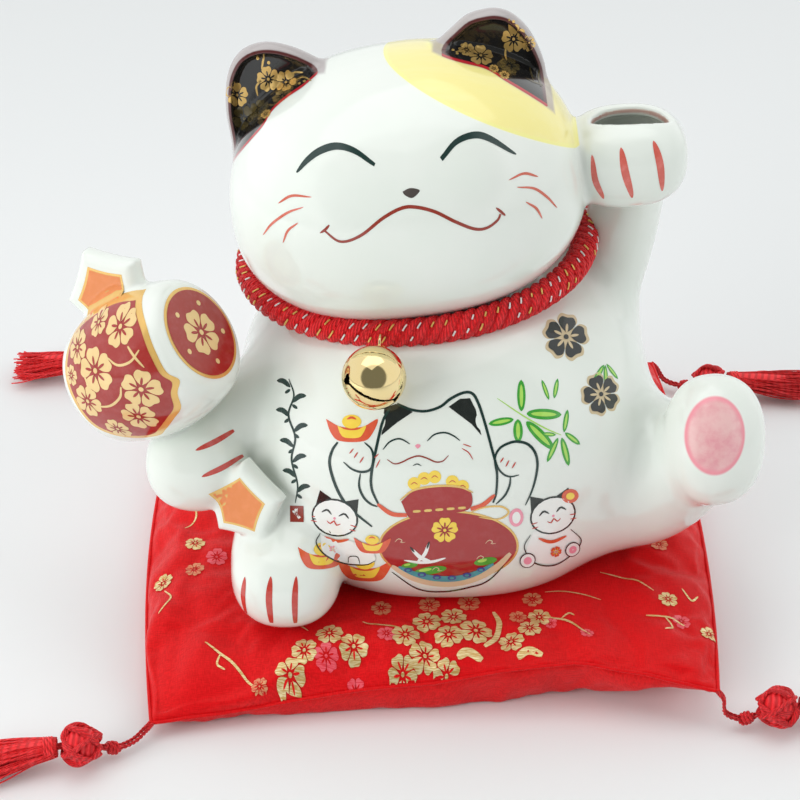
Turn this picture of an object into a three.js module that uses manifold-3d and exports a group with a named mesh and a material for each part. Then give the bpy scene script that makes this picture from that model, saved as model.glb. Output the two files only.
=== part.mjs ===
// A lucky cat of glazed ceramic, sitting on a square brocade cushion with a tassel at each corner.
// Millimetres, +Z up. The cat faces -Y, and +X is at the right as one looks at its face.
// The origin is the middle of the cushion's flat underside, which rests on a table.
import * as THREE from "three";
import { mergeVertices } from "three/addons/utils/BufferGeometryUtils.js";
import Module from "manifold-3d";

const wasm = await Module();
wasm.setup();

// ------------------------------------------------------------------ driving dimensions
const GAP = 0.3; // left between pieces that touch
const WALL = 4; // slip-cast ceramic
const SEAT_Z = 24; // underside of the cat, on the pressed cushion
const DRAIN_R = 15; // hole in the base, closed by the stopper
const NECK_R = 27; // the opening between body and head
const CHANNEL_R = 7.5; // the way down inside the raised arm

// Rounded ceramic members: centre, half sizes, squareness and turn in degrees about X, Y and Z.
const BODY = { at: [4, -8, 70], radii: [80, 78, 68], power: 2.35, cols: 24, rows: 14 };
const HEAD = {
  at: [-11, -5, 168.8],
  radii: [64.5, 54, 46],
  power: 2.3,
  turn: [0, -9, 0],
  cheeks: 0.07,
  cols: 24,
  rows: 12,
};
const RAISED_PAW = {
  at: [68, -6, 178],
  radii: [22, 19, 17],
  power: 2.5,
  turn: [0, -4, 0],
  cols: 16,
  rows: 8,
};
const MALLET_PAW = { at: [-88, -55, 77], radii: [18.5, 17, 18], power: 2.2, cols: 14, rows: 8 };
const STANDING_FOOT = { at: [-55, -74, 42], radii: [20.5, 23, 19], power: 2.3, cols: 14, rows: 8 };
const STRETCHED_FOOT = {
  at: [101, -58, 89.5],
  radii: [18.3, 16.5, 24],
  power: 2.3,
  turn: [-24, 0, 24],
  cols: 14,
  rows: 8,
};

// Limbs: the points of the middle line, with the radius at each.
const RAISED_ARM = [[60, 8, 108, 17], [68, 8, 134, 14.5], [72.5, 5, 158, 12], [71, -2, 176, 12]];
const MALLET_ARM = [[-58, -28, 92, 16], [-74, -40, 86, 15.5], [-87, -51, 79, 15]];
const STANDING_LEG = [[-48, -36, 66, 21], [-53, -50, 56, 21], [-56, -66, 46, 18]];
const STRETCHED_LEG = [[52, -28, 60, 33], [76, -36, 59, 29], [94, -50, 76, 20]];
const TAIL = [[2, 62, 38, 8], [14, 76, 44, 8], [27, 76, 56, 7.5], [31, 70, 68, 6.5]];

const EAR_THICK = 9;
const EAR_EDGES = 24;
// Outlines of the ears across the head, from the left foot over the top to the right foot.
const EARS = {
  ear_left: {
    edge: [[-73.5, 166], [-75.5, 180], [-76.5, 192], [-75, 204], [-70, 212.5], [-61, 216], [-50, 213.8],
      [-38, 207.5]],
    y: 3,
  },
  ear_right: {
    edge: [[-3, 213.5], [3.5, 220.3], [9.5, 226], [15.5, 228.3], [21, 228.8], [26.5, 227], [32, 222],
      [36, 215.5], [39.3, 207], [40.6, 197], [41, 190]],
    y: 3,
  },
};

const PAW_MOUTH = { radii: [13.6, 6.2], depth: 26, at: [68.5, -6.5] };

const MALLET = {
  at: [-102, -50, 118.5], // middle of the barrel
  face: [0.75, -0.25, 0.61], // out of the painted end
  handle: [0.487, -0.416, -0.768], // down the handle, through the paw
  length: 51,
  middleR: 27,
  endR: 21,
};
const KNOB_THICK = 9;
const KNOBS = {
  mallet_knob_top: { along: -28, behind: 0, radius: 18.5 },
  mallet_knob_bottom: { along: 61, behind: 7, radius: 17 },
};

const COLLAR = { at: [-7, 0, 136], radii: [63, 51.5], rope: 5.5, roll: -6, pitch: 4.6 };
const BELL = { radius: 11.2, wall: 0.6, at: [-22, -75.4, 128.8], slot: 1.4, hole: 2.1, holeAngle: 58 };
const RING = { radius: 3.2, wire: 0.5, x: -19.4 };
const LOOP = { radius: 2.9, wire: 0.5 };
const PELLET_R = 2.6;

// Cushion: corner positions with the height of the seam there, and how far the sides bow out.
const CORNERS = { fl: [-103, -119, 7], fr: [102, -113, 17], bl: [-105, 106, 11], br: [102, 105, 12] };
const BOW = { left: 9, right: 6, front: -9, back: -4 };
const SEAM_Z = 13;
const PANEL = 0.8;
const CUSHION_CELLS = 10; // across each way, closer together near the seam
const FILL_GAP = 3; // slack between cover and wadding

// Tassels: points of each cord from its corner to the neck of the skirt, then where the skirt ends.
const CORD_R = 1.5;
const BALL_R = 8.7;
const SKIRT = { neckR: 4.2, endR: 10.5, length: 38 };
const TASSELS = {
  front_left: {
    route: [[-105, -121, 5.8], [-109.5, -125.5, 4.2], [-115.5, -129, 4.4]],
    ball: [-126.5, -132.8],
    way: [-1, -0.13],
  },
  front_right: {
    route: [[104.2, -114.6, 14.6], [105.6, -115, 8], [112.5, -114.6, 4.6]],
    ball: [124.4, -114],
    way: [1, 0.05],
  },
  back_left: {
    route: [[-107.5, 107.4, 9.6], [-117, 109.6, 4.4], [-131, 111, 4.4]],
    ball: [-143.5, 111.4],
    way: [-1, 0.02],
  },
  back_right: {
    route: [[104.4, 104.6, 9.8], [108.4, 101.6, 5.2], [115.5, 98.4, 4.4]],
    ball: [127.2, 94.4],
    way: [1, 0.06],
  },
};
const TASSEL_Z = 1.3; // the lowest point of each tassel
const KEEPER_R = 3.2;

// ------------------------------------------------------------------ colours
const CERAMIC = { color: 0xf4f6f2, roughness: 0.08 };
const SATIN = { color: 0xc3101a, roughness: 0.42 };
const WADDING = { color: 0xf1ece2, roughness: 0.95 };
const BRAID = { color: 0xd0121c, roughness: 0.6 };
const GOLD = { color: 0xe8c15a, roughness: 0.12, metalness: 1 };
const RUBBER = { color: 0x6e6a66, roughness: 0.8 };

// ------------------------------------------------------------------ helpers
const vec = (p) => new THREE.Vector3(...p);
const rad = THREE.MathUtils.degToRad;

// A closed geometry's position-only copy with shared corners merged and flat triangles dropped.
function closed(geometry) {
  const bare = geometry.clone();
  bare.deleteAttribute("normal");
  bare.deleteAttribute("uv");
  const merged = mergeVertices(bare, 1e-4);
  const from = merged.index.array;
  const kept = [];
  for (let i = 0; i < from.length; i += 3) {
    const [a, b, c] = [from[i], from[i + 1], from[i + 2]];
    if (a !== b && b !== c && a !== c) kept.push(a, b, c);
  }
  merged.setIndex(kept);
  return merged;
}

function solid(geometry) {
  const merged = closed(geometry);
  return new wasm.Manifold(
    new wasm.Mesh({
      numProp: 3,
      vertProperties: new Float32Array(merged.attributes.position.array),
      triVerts: new Uint32Array(merged.index.array),
    }),
  );
}

function geometryOf(manifold) {
  const mesh = manifold.getMesh();
  const positions = new Float32Array(mesh.numVert * 3);
  for (let i = 0; i < mesh.numVert; i++) {
    positions.set(mesh.vertProperties.subarray(i * mesh.numProp, i * mesh.numProp + 3), i * 3);
  }
  const geometry = new THREE.BufferGeometry();
  geometry.setAttribute("position", new THREE.BufferAttribute(positions, 3));
  geometry.setIndex(new THREE.BufferAttribute(new Uint32Array(mesh.triVerts), 1));
  geometry.computeVertexNormals();
  return geometry;
}

// Moves every vertex of a geometry by a function of its position.
function shaped(geometry, move) {
  const positions = geometry.attributes.position;
  const p = new THREE.Vector3();
  for (let i = 0; i < positions.count; i++) {
    p.fromBufferAttribute(positions, i);
    positions.setXYZ(i, ...move(p).toArray());
  }
  return geometry;
}

// Puts a geometry's own X, Y and Z along three directions, with its origin at a point.
function placed(geometry, origin, x, y, z) {
  return geometry.applyMatrix4(new THREE.Matrix4().makeBasis(x, y, z).setPosition(origin));
}

// A basis whose Z is the given direction and whose X is as near as possible to the hint.
function basisAlong(z, hint) {
  const w = z.clone().normalize();
  const u = hint.clone().addScaledVector(w, -hint.dot(w)).normalize();
  return [u, w.clone().cross(u), w];
}

// An ellipsoid made squarer by its power, and wider at the bottom by its cheeks.
function blob(shape, grow = 0) {
  const { at, radii, power, turn = [0, 0, 0], cheeks = 0, cols, rows } = shape;
  const [a, b, c] = radii.map((r) => r + grow);
  const geometry = new THREE.SphereGeometry(1, cols, rows).rotateX(Math.PI / 2);
  shaped(geometry, (p) => {
    const sum = Math.abs(p.x) ** power + Math.abs(p.y) ** power + Math.abs(p.z) ** power;
    p.multiplyScalar(sum ** (-1 / power));
    const wide = 1 - cheeks * p.z;
    return new THREE.Vector3(p.x * a * wide, p.y * b * wide, p.z * c);
  });
  geometry.applyMatrix4(new THREE.Matrix4().makeRotationFromEuler(new THREE.Euler(...turn.map(rad))));
  return geometry.translate(...at);
}

// A limb with round ends along a smooth line through its stations.
function limb(stations, grow = 0, sides = 14, steps = 5) {
  const line = new THREE.CatmullRomCurve3(stations.map(([x, y, z]) => new THREE.Vector3(x, y, z)));
  const last = stations.length - 1;
  const radiusAt = (t) => {
    const i = Math.min(Math.floor(t * last), last - 1);
    return THREE.MathUtils.lerp(stations[i][3], stations[i + 1][3], t * last - i) + grow;
  };
  const side = new THREE.Vector3(0.31, -0.93, 0.2);
  return shaped(new THREE.CapsuleGeometry(1, 2, 3, sides, steps), (p) => {
    const t = THREE.MathUtils.clamp((p.y + 1) / 2, 0, 1);
    const beyond = p.y - THREE.MathUtils.clamp(p.y, -1, 1);
    const [u, v, w] = basisAlong(line.getTangent(t), side);
    const r = radiusAt(t);
    const point = line.getPoint(t).addScaledVector(u, -p.x * r);
    return point.addScaledVector(v, p.z * r).addScaledVector(w, beyond * r);
  });
}

function box(x0, x1, y0, y1, z0, z1) {
  const geometry = new THREE.BoxGeometry(x1 - x0, y1 - y0, z1 - z0);
  return geometry.translate((x0 + x1) / 2, (y0 + y1) / 2, (z0 + z1) / 2);
}

function uprightCylinder(x, y, r, z0, z1, sides = 24) {
  const geometry = new THREE.CylinderGeometry(r, r, z1 - z0, sides).rotateX(Math.PI / 2);
  return geometry.translate(x, y, (z0 + z1) / 2);
}

const cat = new THREE.Group();

function part(name, form, look) {
  const geometry = form.isBufferGeometry ? form : geometryOf(form);
  const mesh = new THREE.Mesh(geometry, new THREE.MeshStandardMaterial(look));
  mesh.name = name;
  cat.add(mesh);
}

// ------------------------------------------------------------------ the ceramic cat
const belowSeat = solid(box(-250, 250, -250, 250, -100, SEAT_Z));
const bodyKeepOut = solid(blob(BODY, GAP));
const headKeepOut = solid(blob(HEAD, GAP));

const armChannel = solid(limb(RAISED_ARM.map(([x, y, z]) => [x, y, z, CHANNEL_R]), 0, 10));

function makeBody() {
  const floor = solid(box(-250, 250, -250, 250, -100, SEAT_Z + WALL));
  const hollow = solid(blob(BODY, -WALL)).subtract(floor);
  const drain = solid(uprightCylinder(BODY.at[0], BODY.at[1], DRAIN_R + GAP, 0, SEAT_Z + 20));
  const neck = solid(uprightCylinder(HEAD.at[0] + 4, HEAD.at[1], NECK_R, 115, 150));
  const shell = solid(blob(BODY)).subtract(belowSeat).subtract(hollow).subtract(drain).subtract(neck);
  part("body", shell.subtract(armChannel), CERAMIC);
}

function makeHead() {
  const hollow = solid(blob(HEAD, -WALL));
  const neck = solid(uprightCylinder(HEAD.at[0] + 4, HEAD.at[1], NECK_R, 100, 150));
  part("head", solid(blob(HEAD)).subtract(hollow).subtract(neck).subtract(bodyKeepOut), CERAMIC);
}

// An ear is a rounded plate set upright across the head.
function makeEar(name, { edge, y }) {
  const points = edge.map((point) => new THREE.Vector2(...point));
  const headMiddle = new THREE.Vector2(HEAD.at[0], HEAD.at[2]);
  const foot = headMiddle.lerp(points[0].clone().add(points.at(-1)).multiplyScalar(0.5), 0.7);
  const outline = new THREE.Shape([foot, ...new THREE.SplineCurve(points).getPoints(EAR_EDGES)]);
  const bevel = 2;
  const plate = new THREE.ExtrudeGeometry(outline, {
    depth: EAR_THICK - 2 * bevel,
    bevelSize: bevel * 0.8,
    bevelThickness: bevel,
    bevelOffset: -bevel * 0.8,
    bevelSegments: 2,
  });
  plate.rotateX(Math.PI / 2).translate(0, y + EAR_THICK - bevel, 0);
  part(name, solid(plate).subtract(headKeepOut), CERAMIC);
}

function makeRaisedArm() {
  const pawKeepOut = solid(blob(RAISED_PAW, GAP));
  const arm = solid(limb(RAISED_ARM)).subtract(bodyKeepOut).subtract(headKeepOut).subtract(pawKeepOut);
  part("raised_arm", arm.subtract(armChannel), CERAMIC);

  const [x, y] = PAW_MOUTH.at;
  const mouth = solid(
    new THREE.CylinderGeometry(1, 1, PAW_MOUTH.depth, 20)
      .rotateX(Math.PI / 2)
      .scale(PAW_MOUTH.radii[0], PAW_MOUTH.radii[1], 1)
      .translate(x, y, RAISED_PAW.at[2] + RAISED_PAW.radii[2]),
  );
  const hollow = solid(blob(RAISED_PAW, -WALL));
  const paw = solid(blob(RAISED_PAW)).subtract(headKeepOut).subtract(hollow).subtract(mouth);
  part("raised_paw", paw.subtract(armChannel), CERAMIC);
}

// ------------------------------------------------------------------ the mallet and the arm that holds it
const malletAt = vec(MALLET.at);
const malletFace = vec(MALLET.face).normalize();
const [malletDown] = basisAlong(malletFace, vec(MALLET.handle));
const malletFront = malletDown.clone().cross(malletFace);

function barrelGeometry(grow = 0) {
  const half = MALLET.length / 2 + grow;
  const bulge = MALLET.middleR - MALLET.endR;
  const steps = 6;
  const profile = [new THREE.Vector2(0, -half)];
  for (let i = 0; i <= steps; i++) {
    const t = (2 * i) / steps - 1;
    profile.push(new THREE.Vector2(MALLET.middleR + grow - bulge * t * t, t * half));
  }
  profile.push(new THREE.Vector2(0, half));
  const lathe = new THREE.LatheGeometry(profile, 22).rotateX(Math.PI / 2);
  return placed(lathe, malletAt, malletDown, malletFace.clone().cross(malletDown), malletFace);
}

function makeMallet() {
  const vent = new THREE.CylinderGeometry(4, 4, 30, 10).rotateX(Math.PI / 2);
  const [u, v, w] = basisAlong(malletDown, malletFace);
  placed(vent, malletAt.clone().addScaledVector(malletDown, MALLET.middleR), u, v, w);
  const barrel = solid(barrelGeometry()).subtract(solid(barrelGeometry(-WALL))).subtract(solid(vent));
  part("mallet_barrel", barrel.subtract(bodyKeepOut), CERAMIC);
}

// The two ends of the handle are five-pointed rosettes.
function makeKnob(name, { along, behind, radius }, keepOut) {
  const points = 5;
  const star = new THREE.Shape();
  for (let i = 0; i < points; i++) {
    const tip = (2 * Math.PI * i) / points;
    const next = tip + (2 * Math.PI) / points;
    const waist = (tip + next) / 2;
    if (i === 0) star.moveTo(radius * Math.cos(tip), radius * Math.sin(tip));
    const inner = radius * 0.68;
    const hollow = [inner * Math.cos(waist), inner * Math.sin(waist)];
    star.quadraticCurveTo(...hollow, radius * Math.cos(next), radius * Math.sin(next));
  }
  const bevel = 1.6;
  const plate = new THREE.ExtrudeGeometry(star, {
    depth: KNOB_THICK - 2 * bevel,
    bevelSize: bevel,
    bevelThickness: bevel,
    bevelOffset: -bevel,
    bevelSegments: 2,
    curveSegments: 5,
  }).translate(0, 0, bevel - KNOB_THICK / 2);
  const upward = malletDown.clone().multiplyScalar(along < 0 ? -1 : 1);
  const centre = malletAt.clone().addScaledVector(malletDown, along).addScaledVector(malletFront, -behind);
  placed(plate, centre, upward, malletFront.clone().cross(upward), malletFront);
  part(name, keepOut.reduce((made, other) => made.subtract(other), solid(plate)), CERAMIC);
}

function makeMalletSide() {
  const barrelKeepOut = solid(barrelGeometry(GAP));
  const pawKeepOut = solid(blob(MALLET_PAW, GAP));
  makeMallet();
  part("mallet_paw", solid(blob(MALLET_PAW)).subtract(barrelKeepOut).subtract(bodyKeepOut), CERAMIC);
  const legKeepOut = solid(limb(STANDING_LEG, GAP));
  const footKeepOut = solid(blob(STANDING_FOOT, GAP));
  const arm = solid(limb(MALLET_ARM)).subtract(barrelKeepOut).subtract(pawKeepOut).subtract(bodyKeepOut);
  part("mallet_arm", arm.subtract(legKeepOut), CERAMIC);
  for (const [name, knob] of Object.entries(KNOBS)) {
    makeKnob(name, knob, [barrelKeepOut, pawKeepOut, bodyKeepOut, legKeepOut, footKeepOut]);
  }
  return pawKeepOut;
}

function makeLegs(malletPawKeepOut) {
  const standingFootKeepOut = solid(blob(STANDING_FOOT, GAP));
  const standingFoot = solid(blob(STANDING_FOOT)).subtract(bodyKeepOut).subtract(belowSeat);
  part("standing_foot", standingFoot, CERAMIC);
  const standingLeg = solid(limb(STANDING_LEG)).subtract(bodyKeepOut).subtract(standingFootKeepOut);
  part("standing_leg", standingLeg.subtract(belowSeat).subtract(malletPawKeepOut), CERAMIC);

  const stretchedFootKeepOut = solid(blob(STRETCHED_FOOT, GAP));
  part("stretched_foot", solid(blob(STRETCHED_FOOT)).subtract(bodyKeepOut), CERAMIC);
  const stretchedLeg = solid(limb(STRETCHED_LEG)).subtract(bodyKeepOut);
  part("stretched_leg", stretchedLeg.subtract(stretchedFootKeepOut), CERAMIC);
}

function makeStopper() {
  const z0 = SEAT_Z + 1;
  const radii = [0, DRAIN_R - 1, DRAIN_R, DRAIN_R - 0.6, DRAIN_R - 2, 0];
  const heights = [0, 0, 1, 7, 8, 8];
  const profile = radii.map((radius, i) => new THREE.Vector2(radius, z0 + heights[i]));
  const plug = new THREE.LatheGeometry(profile, 20).rotateX(Math.PI / 2);
  part("base_stopper", plug.translate(BODY.at[0], BODY.at[1], 0), RUBBER);
}

// ------------------------------------------------------------------ collar and bell
const collarTurn = new THREE.Matrix4()
  .makeRotationFromEuler(new THREE.Euler(rad(COLLAR.pitch), rad(COLLAR.roll), 0))
  .setPosition(vec(COLLAR.at));

function collarPoint(angle) {
  const [a, b] = COLLAR.radii;
  return new THREE.Vector3(a * Math.cos(angle), b * Math.sin(angle), 0).applyMatrix4(collarTurn);
}

// Where on the collar's front the ring passes through it, from the ring's own place across the front.
const ringAngle = -Math.acos((RING.x - COLLAR.at[0]) / COLLAR.radii[0]);
const ropeAtRing = collarPoint(ringAngle);
const bellAt = vec(BELL.at);
const hang = bellAt.clone().sub(ropeAtRing).normalize(); // from the rope towards the bell
const across = new THREE.Vector3(1, 0, 0).addScaledVector(hang, -hang.x).normalize();
const threadLine = across.clone().cross(hang); // through the rope, up or down
const ringAt = ropeAtRing.clone().addScaledVector(hang, COLLAR.rope + 0.4);

function ringGeometry(wire, stretch = 1) {
  const torus = new THREE.TorusGeometry(RING.radius, wire, 6, 18).scale(1, 1, stretch);
  return placed(torus, ringAt, hang, threadLine, hang.clone().cross(threadLine));
}

function makeCollar() {
  const [a, b] = COLLAR.radii;
  const rope = shaped(new THREE.TorusGeometry(a, COLLAR.rope, 8, 36), (p) => {
    const angle = Math.atan2(p.y, p.x);
    const out = Math.hypot(p.x, p.y) - a;
    return new THREE.Vector3((a + out) * Math.cos(angle), (b + out) * Math.sin(angle), p.z);
  }).applyMatrix4(collarTurn);
  const armKeepOut = solid(limb(RAISED_ARM, GAP));
  const threading = solid(ringGeometry(RING.wire + 0.45, 2));
  const clear = solid(rope).subtract(bodyKeepOut).subtract(headKeepOut).subtract(armKeepOut);
  part("collar_cord", clear.subtract(threading), BRAID);
}

// The bell's own axis runs from its loop to its slotted pole.
const pole = hang.clone();
const slotSide = new THREE.Vector3(-0.83, -0.5, -0.03);
const [slotWay] = basisAlong(pole, slotSide);
const slotNormal = pole.clone().cross(slotWay);
const bellX = slotWay;
const bellY = slotNormal;

function halfShell(upper) {
  const outer = BELL.radius;
  const inner = outer - BELL.wall;
  const steps = 5;
  const profile = [];
  const start = Math.asin(GAP / 2 / outer);
  const turnTo = (radius, k) => {
    const t = start + (Math.PI / 2 - start) * k;
    const z = radius * Math.sin(t) * (upper ? -1 : 1);
    return new THREE.Vector2(k === 1 ? 0 : radius * Math.cos(t), z);
  };
  for (let i = 0; i <= steps; i++) profile.push(turnTo(outer, i / steps));
  for (let i = steps; i >= 0; i--) profile.push(turnTo(inner, i / steps));
  profile.push(profile[0].clone());
  if (upper) profile.reverse();
  const lathe = new THREE.LatheGeometry(profile, 18).rotateX(Math.PI / 2);
  return solid(placed(lathe, bellAt, bellX, bellY, pole));
}

function makeBell() {
  part("jump_ring", ringGeometry(RING.wire), GOLD);

  const top = bellAt.clone().addScaledVector(pole, -BELL.radius);
  const loopAt = top.clone().addScaledVector(pole, -(LOOP.radius + LOOP.wire + GAP - 0.1));
  const loop = new THREE.TorusGeometry(LOOP.radius, LOOP.wire, 6, 16);
  part("bell_loop", placed(loop, loopAt, across, pole, across.clone().cross(pole)), GOLD);
  part("bell_upper_shell", halfShell(true), GOLD);

  const reach = BELL.radius + 2;
  const angle = rad(BELL.holeAngle);
  const half = reach * Math.sin(angle);
  const slot = box(-half, half, -BELL.slot / 2, BELL.slot / 2, 4, reach);
  let lower = halfShell(false).subtract(solid(placed(slot, bellAt, bellX, bellY, pole)));
  for (const side of [-1, 1]) {
    const out = pole.clone().multiplyScalar(Math.cos(angle));
    out.addScaledVector(slotWay, side * Math.sin(angle));
    const drill = new THREE.CylinderGeometry(BELL.hole, BELL.hole, 8, 10).rotateX(Math.PI / 2);
    const [u, v, w] = basisAlong(out, slotNormal);
    lower = lower.subtract(solid(placed(drill, bellAt.clone().addScaledVector(out, BELL.radius), u, v, w)));
  }
  part("bell_lower_shell", lower, GOLD);

  const rest = BELL.radius - BELL.wall - PELLET_R - GAP;
  const pellet = new THREE.SphereGeometry(PELLET_R, 10, 6).rotateX(Math.PI / 2);
  part("bell_pellet", pellet.translate(bellAt.x, bellAt.y, bellAt.z - rest), GOLD);
}

// ------------------------------------------------------------------ cushion
function cushionPlan(u, v) {
  const mix = (i) => {
    const front = THREE.MathUtils.lerp(CORNERS.fl[i], CORNERS.fr[i], (u + 1) / 2);
    const back = THREE.MathUtils.lerp(CORNERS.bl[i], CORNERS.br[i], (u + 1) / 2);
    return THREE.MathUtils.lerp(front, back, (v + 1) / 2);
  };
  const middleX = 1 - v * v;
  const middleY = 1 - u * u;
  const x = mix(0) + middleX * ((BOW.right * (1 + u)) / 2 - (BOW.left * (1 - u)) / 2);
  const y = mix(1) + middleY * ((BOW.back * (1 + v)) / 2 - (BOW.front * (1 - v)) / 2);
  const seam = THREE.MathUtils.lerp(mix(2), SEAM_Z, Math.max(middleX * u * u, middleY * v * v));
  return new THREE.Vector3(x, y, seam);
}

// The cover's outer height over the plan: from the seam up to the pressed seat, or down to the table.
function coverHeight(u, v, seam, up) {
  const full = Math.min((1 - u ** 6) * (1 - v ** 6) * 1.9, 1);
  return up ? THREE.MathUtils.lerp(seam, SEAT_Z - GAP, full) : THREE.MathUtils.lerp(seam, 0, full);
}

// A slab over the cushion's plan, whose cells lie closer together near the seam. It stops rim cells
// short of the seam, and heightAt gives its two faces.
function cushionSlab(rim, heightAt) {
  const cells = CUSHION_CELLS - 2 * rim;
  const reach = cells / CUSHION_CELLS;
  return shaped(new THREE.BoxGeometry(2, 2, 2, cells, cells, 1), (p) => {
    const u = Math.sin((p.x * reach * Math.PI) / 2);
    const v = Math.sin((p.y * reach * Math.PI) / 2);
    const plan = cushionPlan(u, v);
    return new THREE.Vector3(plan.x, plan.y, heightAt(u, v, plan.z, p.z > 0));
  });
}

function coverFace(u, v, seam, up, inward) {
  const sign = up ? 1 : -1;
  return coverHeight(u, v, seam + sign * (GAP / 2 + PANEL), up) - sign * inward;
}

function makeCushion() {
  const panel = (up) =>
    cushionSlab(0, (u, v, seam, top) => coverFace(u, v, seam, up, top === up ? 0 : PANEL));
  part("cushion_top_panel", panel(true), SATIN);
  part("cushion_bottom_panel", panel(false), SATIN);
  const slack = PANEL + FILL_GAP;
  const filling = cushionSlab(1, (u, v, seam, top) => coverFace(u, v, seam, top, slack));
  part("cushion_filling", filling, WADDING);
}

// ------------------------------------------------------------------ tassels
function tube(points, radius, sides, steps) {
  const circle = new THREE.Shape();
  for (let i = 0; i < sides; i++) {
    const a = (2 * Math.PI * i) / sides;
    if (i === 0) circle.moveTo(radius, 0);
    else circle.lineTo(radius * Math.cos(a), radius * Math.sin(a));
  }
  const extrudePath = new THREE.CatmullRomCurve3(points);
  return new THREE.ExtrudeGeometry(circle, { steps, bevelEnabled: false, extrudePath });
}

function makeTassel(name, { route, ball, way }) {
  const centre = new THREE.Vector3(...ball, BALL_R + TASSEL_Z);
  const out = new THREE.Vector3(...way, 0).normalize();
  const arriving = vec(route.at(-1)).sub(centre).normalize();
  const keeperAt = centre.clone().addScaledVector(arriving, BALL_R + KEEPER_R + GAP);
  const last = vec(route.at(-2));
  const cordEnd = keeperAt.clone().add(last.clone().sub(keeperAt).setLength(KEEPER_R + 2 * GAP));
  const middle = last.clone().lerp(cordEnd, 0.5);
  const cordLine = [...route.slice(0, -1).map(vec), middle, cordEnd];
  part(`tassel_cord_${name}`, tube(cordLine, CORD_R, 8, 5), BRAID);
  const keeper = new THREE.SphereGeometry(KEEPER_R, 10, 6).rotateX(Math.PI / 2);
  part(`tassel_keeper_${name}`, keeper.translate(...keeperAt), BRAID);
  const knot = new THREE.SphereGeometry(BALL_R, 14, 8).rotateX(Math.PI / 2);
  part(`tassel_ball_${name}`, knot.translate(...centre), BRAID);
  const neckAt = centre.clone().addScaledVector(out, BALL_R + GAP);
  const { neckR, endR, length } = SKIRT;
  const skirt = new THREE.CylinderGeometry(endR, neckR, length, 14, 2).rotateX(Math.PI / 2);
  const flat = shaped(skirt.translate(0, 0, length / 2), (p) => {
    const t = p.z / length;
    const half = THREE.MathUtils.lerp(neckR, endR * 0.62, t) / THREE.MathUtils.lerp(neckR, endR, t);
    const drop = THREE.MathUtils.lerp(neckAt.z, endR * 0.62 + TASSEL_Z, t ** 0.6);
    return new THREE.Vector3(p.x, p.y * half + drop, p.z);
  });
  const up = new THREE.Vector3(0, 0, 1);
  const foot = new THREE.Vector3(neckAt.x, neckAt.y, 0);
  part(`tassel_skirt_${name}`, placed(flat, foot, up.clone().cross(out), up, out), BRAID);
}

// ------------------------------------------------------------------ assembly
makeBody();
makeHead();
for (const [name, ear] of Object.entries(EARS)) makeEar(name, ear);
makeRaisedArm();
makeLegs(makeMalletSide());
part("tail", solid(limb(TAIL)).subtract(bodyKeepOut).subtract(belowSeat), CERAMIC);
makeStopper();
makeCollar();
makeBell();
makeCushion();
for (const [name, tassel] of Object.entries(TASSELS)) makeTassel(name, tassel);

export default cat;
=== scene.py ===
"""A glazed lucky cat on a red brocade cushion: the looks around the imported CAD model.

Metres in Blender, millimetres in the shape code below, +Z up; the cat faces -Y.
"""
import math

import bpy
import numpy as np
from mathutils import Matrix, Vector
from mathutils.bvhtree import BVHTree
from mathutils.geometry import delaunay_2d_cdt


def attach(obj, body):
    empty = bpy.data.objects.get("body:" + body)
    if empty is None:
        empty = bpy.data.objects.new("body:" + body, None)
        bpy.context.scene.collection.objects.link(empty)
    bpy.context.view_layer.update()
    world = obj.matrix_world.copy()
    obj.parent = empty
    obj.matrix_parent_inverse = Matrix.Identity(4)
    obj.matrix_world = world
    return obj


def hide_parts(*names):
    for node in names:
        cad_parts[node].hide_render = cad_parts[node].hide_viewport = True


MM = 0.001
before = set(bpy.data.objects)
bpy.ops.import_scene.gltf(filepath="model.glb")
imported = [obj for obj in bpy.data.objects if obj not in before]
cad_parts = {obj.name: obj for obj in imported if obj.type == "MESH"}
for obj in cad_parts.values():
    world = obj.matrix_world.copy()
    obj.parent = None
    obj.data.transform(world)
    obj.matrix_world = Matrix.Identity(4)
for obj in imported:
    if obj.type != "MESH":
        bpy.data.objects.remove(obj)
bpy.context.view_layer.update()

# ------------------------------------------------------------------ camera
camera_data = bpy.data.cameras.new("camera")
camera_data.sensor_width = 36
camera_data.lens = 85.5
camera = bpy.data.objects.new("camera", camera_data)
camera.location = (-0.013, -0.6133, 0.5003)
camera.rotation_euler = (math.radians(54.7), 0, 0)
bpy.context.scene.collection.objects.link(camera)
bpy.context.scene.camera = camera
bpy.context.scene.view_settings.view_transform = "Standard"
# Upward in the picture and towards the camera, which the drawings and the studio follow.
PICTURE_UP = (0, 0.578, 0.816)
TOWARDS_CAMERA = (0, -0.816, 0.578)
X, Z = (1, 0, 0), (0, 0, 1)


# ------------------------------------------------------------------ the shape of the ceramic
def unit(v):
    v = np.asarray(v, float)
    return v / np.linalg.norm(v)


def rotation(turn):
    """The matrix of turns in degrees about X, Y and Z, the last one first."""
    (cx, cy, cz), (sx, sy, sz) = np.cos(np.radians(turn)), np.sin(np.radians(turn))
    about_x = np.array([[1, 0, 0], [0, cx, -sx], [0, sx, cx]])
    about_y = np.array([[cy, 0, sy], [0, 1, 0], [-sy, 0, cy]])
    about_z = np.array([[cz, -sz, 0], [sz, cz, 0], [0, 0, 1]])
    return about_x @ about_y @ about_z


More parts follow.
